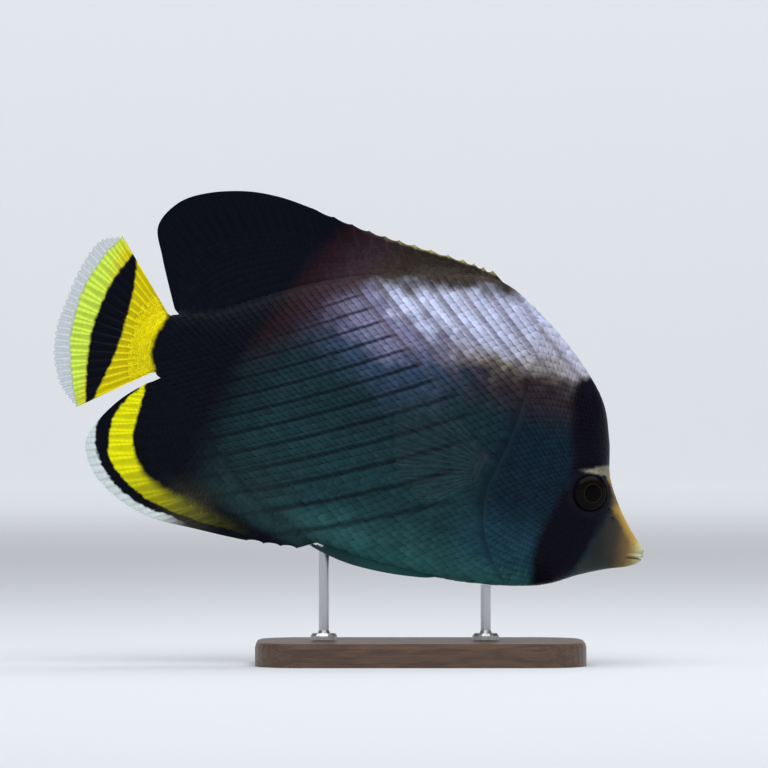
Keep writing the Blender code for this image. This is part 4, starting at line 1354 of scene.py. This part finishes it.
def head_rows():
    """Places of the head's and breast's scales, in rows that fan out from the snout and widen aft."""
    aft_steps = [13.0]
    while aft_steps[-1] < 84:
        aft_steps.append(aft_steps[-1] + head_scale_size(aft_steps[-1]) / 2)
    steps = np.arange(len(aft_steps))
    i, j = (grid.ravel() for grid in np.meshgrid(steps, np.arange(-60, 61), indexing="ij"))
    keep = (i + j) % 2 == 0
    i, j = i[keep], j[keep]
    aft = np.array(aft_steps)[i]
    size = head_scale_size(aft)
    up = HEAD_ROW_LEVEL + j * size * HEAD_ROW_SHARE
    ahead = aft + 0.5
    run = np.stack((np.full_like(aft, 0.5), j * HEAD_ROW_SHARE * (head_scale_size(ahead) - size)), -1)
    run = run / np.linalg.norm(run, axis=1, keepdims=True)
    return aft, up, run, size, size * HEAD_ROW_SHARE * 1.18


def head_scale_size(aft):
    return 1.25 + 1.45 * smooth_step(12.0, 46.0, aft) + 0.5 * smooth_step(48.0, 70.0, aft)


def lattice(fields, split, spread, start):
    """Places of the scales: the crossings of two sets of lines, split into smaller steps.

    Gives (aft, up), the way each scale points and its length and half width.
    """
    rear, front = (np.arange(spread[k][0] * split, spread[k][1] * split + 1) / split for k in range(2))
    want_rear, want_front = (grid.ravel() for grid in np.meshgrid(rear, front, indexing="ij"))
    aft, up = np.full(want_rear.shape, start[0]), np.full(want_rear.shape, start[1])
    for _ in range(12):
        rear_now, rear_a, rear_u = field_value(aft, up, fields[0])
        front_now, front_a, front_u = field_value(aft, up, fields[1])
        turn = rear_a * front_u - rear_u * front_a
        off_rear, off_front = want_rear - rear_now, want_front - front_now
        aft = aft + (off_rear * front_u - off_front * rear_u) / turn
        up = up + (off_front * rear_a - off_rear * front_a) / turn
    run, high = lattice_size(fields, split, aft, up)
    length = np.linalg.norm(run, axis=1)
    sure = (np.abs(off_rear) < 0.01) & (np.abs(off_front) < 0.01) & (length < LARGEST_SCALE)
    return pick((aft, up, run / length[:, None], length, high * 0.58), sure)


def lattice_size(fields, split, aft, up):
    """The lattice's step along the body, as (aft, up), and its height, at any place."""
    _, rear_a, rear_u = field_value(aft, up, fields[0])
    _, front_a, front_u = field_value(aft, up, fields[1])
    turn = rear_a * front_u - rear_u * front_a
    per_rear = np.stack((front_u, -front_a), -1) / turn[:, None] / split
    per_front = np.stack((-rear_u, rear_a), -1) / turn[:, None] / split
    return -(per_rear + per_front), np.linalg.norm(per_rear - per_front, axis=1)


def field_value(aft, up, lines):
    """A field's value and its slopes along aft and up."""
    across, high = (aft - lines["centre"][0]) / 10, (up - lines["centre"][1]) / 10
    total, slope_a, slope_u = 0, 0, 0
    for i, j, value in lines["terms"]:
        total = total + value * across**i * high**j
        if i:
            slope_a = slope_a + value * i * across ** (i - 1) * high**j / 10
        if j:
            slope_u = slope_u + value * j * across**i * high ** (j - 1) / 10
    return total, slope_a, slope_u


def girth_from_back(u, v):
    """Distance down the side from the back, in millimetres, for the unwrap."""
    stations = np.linspace(0, LAST, 120)
    shares = np.linspace(1, -1, 160)
    grid_u, grid_v = np.meshgrid(stations, shares, indexing="ij")
    _, up = chord_point(grid_u, grid_v)
    half = body_half(grid_u, grid_v)
    girth = np.cumsum(np.hypot(np.diff(up, axis=1), np.diff(half, axis=1)), axis=1)
    girth = np.concatenate((np.zeros((len(stations), 1)), girth), axis=1)
    x = np.clip(u / LAST * (len(stations) - 1), 0, len(stations) - 1.001)
    y = np.clip((1 - v) / 2 * (len(shares) - 1), 0, len(shares) - 1.001)
    i, j = x.astype(int), y.astype(int)
    fx, fy = x - i, y - j
    near = girth[i, j] * (1 - fx) + girth[i + 1, j] * fx
    far = girth[i, j + 1] * (1 - fx) + girth[i + 1, j + 1] * fx
    return near * (1 - fy) + far * fy


def body_scales(name, sign, finish, spots, random):
    """Joined scales over one side, each bent to the body under it."""
    aft, up, run, length, wide, lift = spots
    u, v = locate(*lay_scales(aft, up, run, length * 1.06, wide))
    u, v = np.clip(u, 0.02, LAST - 0.02), np.clip(v, -1, 1)
    base_aft, base_up = chord_point(u, v)
    loose = lift * (1 + 0.08 * random.standard_normal(len(aft)))
    height = SHAPE[None, :, 2] * loose[:, None]
    out = np.stack((base_aft, flank_half(u, v) - SKIN_DEPTH, base_up), -1)
    out = out + flank_normal(u, v) * height[..., None]
    down = (girth_from_back(*locate(aft, up)) + 1) / SCALE_MAP_HEIGHT
    root = np.stack(((aft + 2) / SKIN_MAP[0], 0.5 + sign * down), -1)
    return join_scales(name, finish, [(sign, place_side(out, sign))], root, random)


def make_body_scales(finish):
    """Scales of the flank, breast and head, left and right."""
    random = np.random.default_rng(SEED)
    fields = (REAR_LINES, FRONT_LINES)

    def surroundings(aft, up):
        """Places' station and height share, and how far past the gill cover's edge scales may start."""
        u, v = locate(aft, up)
        free = gill_share(v)
        return u, v, gill_edge(v) + 0.02 * (1 - free), free

    spots = lattice(fields, SCALE_SPLIT, ((-9, 18), (-17, 13)), (75.0, 5.0))
    u, v, gill, free = surroundings(spots[0], spots[1])
    lift = 0.40 * (1 - 0.5 * smooth_step(0.90, 0.99, v))
    flank = pick((*spots, lift), (np.abs(v) < 0.992) & (u < LAST - 0.05) & (u > gill + 0.12 * free))

    aft, up, run, length, wide = head_rows()
    u, v, gill, free = surroundings(aft, up)
    from_eye = np.hypot(aft - EYE_CENTRE[0], up - EYE_CENTRE[2]) - 6.1
    clear = np.minimum(from_eye, aft - 13.0 - 0.12 * np.abs(up + 8)) + 0.25 * random.standard_normal(len(aft))
    grown = 0.55 + 0.45 * smooth_step(0.0, 2.6, clear)
    lift = (0.24 + 0.16 * smooth_step(26, 48, aft)) * (0.5 + 0.5 * smooth_step(0.0, 3.5, clear))
    lift = lift * (1 - 0.6 * smooth_step(0.80, 0.98, np.abs(v)))
    inside = np.abs(v) < 0.99
    on_head = inside & (u < gill - 0.17 * free) & (clear > 0)
    cheek = pick((aft, up, run, length * grown, wide * grown, lift), on_head)
    step = np.linalg.norm(lattice_size(fields, SCALE_SPLIT, aft, up)[0], axis=1)
    on_breast = inside & (u > gill + 0.12 * free) & (step > LARGEST_SCALE - 0.2) & (up < 0)
    breast = pick((aft, up, run, length * 1.1, wide * 1.1, lift), on_breast)
    flank = tuple(np.concatenate(pair) for pair in zip(flank, breast))
    return [
        body_scales(kind + "_scales_" + word, sign, finish, places, random)
        for word, sign in SIDES
        for kind, places in (("flank", flank), ("head", cheek))
    ]


def surface_finder(*pieces):
    """A way to look up how far the outermost surface of these pieces is from the middle plane."""
    points, faces = [], []
    for piece in pieces:
        start = len(points)
        points += [tuple(v.co) for v in piece.data.vertices]
        faces += [tuple(start + k for k in face.vertices) for face in piece.data.polygons]
    tree = BVHTree.FromPolygons(points, faces)

    def find(aft, up):
        far = place(aft, np.full_like(aft, 30.0), up)
        found = np.empty(aft.shape)
        for index in np.ndindex(aft.shape):
            hit = tree.ray_cast(far[index], (0, -1, 0))[0]
            found[index] = np.nan if hit is None else hit[1] / MM
        return found - sway(aft)

    return find


def fin_scales(name, fin, find, finish, reach_end, size, random, start=-0.02):
    """Small scales that climb a fin from its root, on both sides, smaller the further out they are."""
    long = np.linalg.norm(fin.tip - fin.root, axis=1)
    steps = np.linalg.norm(np.diff((fin.root + fin.tip) / 2, axis=0), axis=1)
    travel = np.concatenate(([0], np.cumsum(steps)))
    cells = []
    reach, row = start, 0
    while reach < reach_end:
        here = size * (1 - 0.60 * max(reach, 0) / reach_end)
        count = int(travel[-1] / (here * 0.92))
        way = (np.arange(count) + 0.5 * (row % 2)) * travel[-1] / count
        column = np.interp(way, travel, np.arange(len(travel)))
        limit = reach_end * (0.84 + 0.16 * random.random(count))
        keep = (reach < limit) & (long[column.astype(int)] * reach_end > here * 1.2)
        cells += [(c, reach, here) for c in column[keep]]
        reach += here * 0.52 / np.median(long)
        row += 1
    column, reach, here = np.array(cells).T
    spot = fin.at(column, reach)
    run = fin.at(column, reach + 0.02) - spot
    run = run / np.linalg.norm(run, axis=1, keepdims=True)
    aft, up = lay_scales(spot[:, 0], spot[:, 1], run, here, here * 0.62)
    side = find(aft, up)
    side, aft, up, spot, reach = pick((side, aft, up, spot, reach), ~np.isnan(side).any(1))
    flat = np.column_stack((np.ones(len(SHAPE)), SHAPE[:, :2]))
    lift = 0.17 * (1 + 0.12 * random.standard_normal(len(spot))) * (1 - 0.35 * reach / reach_end)
    outer = side @ (flat @ np.linalg.pinv(flat)).T + SHAPE[None, :, 2] * lift[:, None]
    wide = 0.46 / max(np.ptp(aft), np.ptp(up))
    root = (spot - (aft.min(), up.min())) * wide + 0.01
    sides = [(sign, place(aft, sign * outer, up)) for _, sign in SIDES]
    return join_scales(name, finish, sides, root, random)


# Stage


def make_stage(reach=2.7, bend=0.5, rise=0.75, sides=96):
    """A round pale floor that rises at its rim, far outside every camera, into a low wall that glows."""
    arc = np.linspace(0, np.pi / 2, 13)
    far = np.concatenate(([0, 0.5, 1.4], reach + bend * np.sin(arc), [reach + bend]))[:, None]
    high = np.concatenate(([0, 0, 0], bend * (1 - np.cos(arc)), [rise]))[:, None]
    turn = np.linspace(0, 2 * np.pi, sides, endpoint=False)
    points = np.stack((far * np.cos(turn), far * np.sin(turn), high + 0 * turn), -1).reshape(-1, 3)
    mesh = bpy.data.meshes.new("floor")
    mesh.from_pydata(points.tolist(), [], grid_quads(len(far), sides, closed=True).tolist())
    mesh.shade_smooth()
    paint = Finish("studio_paper")
    away = paint.get("VectorMath", {0: paint.spot()}, "Value", operation="LENGTH")
    mesh.materials.append(paint.surface({
        "Base Color": (0.55, 0.57, 0.60),
        "Roughness": 0.9,
        "Emission Color": (0.93, 0.96, 1.0),
        "Emission Strength": paint.step(away, 1.3, 0.9) * 0.55,
    }))
    floor = bpy.data.objects.new("floor", mesh)
    bpy.context.scene.collection.objects.link(floor)


def make_light():
    """One large soft lamp above the fish, which looks straight at its middle, and a dim pale sky."""
    light = bpy.data.lights.new("key", "AREA")
    light.shape = "RECTANGLE"
    light.size, light.size_y = 1.5, 1.2
    light.energy = 19.0
    lamp = bpy.data.objects.new("key", light)
    lamp.location = (0.06, -0.10, 0.90)
    ahead, side, down = (a - b for a, b in zip((-0.02, 0, 0.07), lamp.location))
    tilt = math.atan2(math.hypot(ahead, side), -down)
    lamp.rotation_euler = (tilt, 0, math.atan2(side, ahead) - math.pi / 2)
    lamp.visible_camera = False
    scene = bpy.context.scene
    scene.collection.objects.link(lamp)
    scene.world = scene.world or bpy.data.worlds.new("studio")
    scene.world.use_nodes = True
    sky = scene.world.node_tree.nodes["Background"].inputs
    sky["Color"].default_value = (0.82, 0.87, 0.95, 1)
    sky["Strength"].default_value = 0.18
    scene.view_settings.view_transform = "Standard"


# The photograph is 768 pixels wide, and the fish is 627.2 of them long; these are its own units
PHOTO_WIDTH = 768
MM_PER_PIXEL = TOTAL_LENGTH / 627.2
PHOTO_SNOUT = (663.9, 479.2)


def make_camera(distance=1.6, sensor=36):
    """Level with the fish and square to its side, with a long lens and the photograph's frame."""
    camera = bpy.data.cameras.new("camera")
    camera.sensor_width = sensor
    camera.lens = sensor * distance / (PHOTO_WIDTH * MM_PER_PIXEL * MM)
    camera.clip_start = 0.01
    eye = bpy.data.objects.new("camera", camera)
    right, low = ((PHOTO_WIDTH / 2 - snout) * MM_PER_PIXEL for snout in PHOTO_SNOUT)
    eye.location = ((SNOUT_X + right) * MM, -distance, (SNOUT_Z - low) * MM)
    eye.rotation_euler = (math.pi / 2, 0, 0)
    bpy.context.scene.collection.objects.link(eye)
    bpy.context.scene.camera = eye


def dress_stand():
    """Better finishes on the solids of the stand, which keep their shapes."""
    steel = steel_material()
    finishes = {"stand_base": wood_material(), "stand_rod_front": steel, "stand_rod_rear": steel}
    for node, finish in finishes.items():
        for slot in bpy.data.objects[node].material_slots:
            slot.material = finish


def main():
    make_camera()
    group = pattern_and_light_group()
    skin_finish, scale_finish = skin_material(group), scale_material(group)
    fin_finish = fin_material(group, "fin_membrane")
    tail_finish = fin_material(group, "tail_membrane", see_through=True)
    clear_finish = clear_fin_material("clear_fin", (0.032, 0.050, 0.058), 0.02, 0.11)
    dorsal, anal, caudal = dorsal_columns(), anal_columns(), caudal_columns()

    skin = make_skin(skin_finish, dorsal, anal)
    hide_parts("head", "torso", "tail_stem")
    for piece in make_body_scales(scale_finish):
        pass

    back = make_median_fin("dorsal_fin", dorsal, fin_finish)
    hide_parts("dorsal_fin_spines", "dorsal_fin_soft")
    under = make_median_fin("anal_fin_rays", anal, fin_finish)
    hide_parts("anal_fin")
    tail = make_median_fin("tail_fin", caudal, tail_finish)
    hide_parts("caudal_fin")
    random = np.random.default_rng(SEED + 1)
    find = surface_finder(skin, back, under, tail)
    for piece in (
        fin_scales("dorsal_fin_scales", dorsal, find, scale_finish, 0.66, 2.5, random),
        fin_scales("anal_fin_scales", anal, find, scale_finish, 0.62, 2.4, random),
        fin_scales("tail_fin_scales", caudal, find, scale_finish, 0.32, 1.7, random),
    ):
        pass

    eye_finish = eye_material()
    for word, sign in SIDES:
        ball = make_eye(word, sign, eye_finish)
        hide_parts("eye_" + word)
        for piece in (make_orbit(word, sign, skin_finish), make_nostrils(word, sign, skin_finish)):
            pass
        fan = make_pectoral(word, sign, clear_finish)
        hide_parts("pectoral_fin_" + word)
        fold = make_pelvic(word, sign, fin_finish)
        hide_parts("pelvic_fin_" + word)

    dress_stand()
    make_stage()
    make_light()


main()
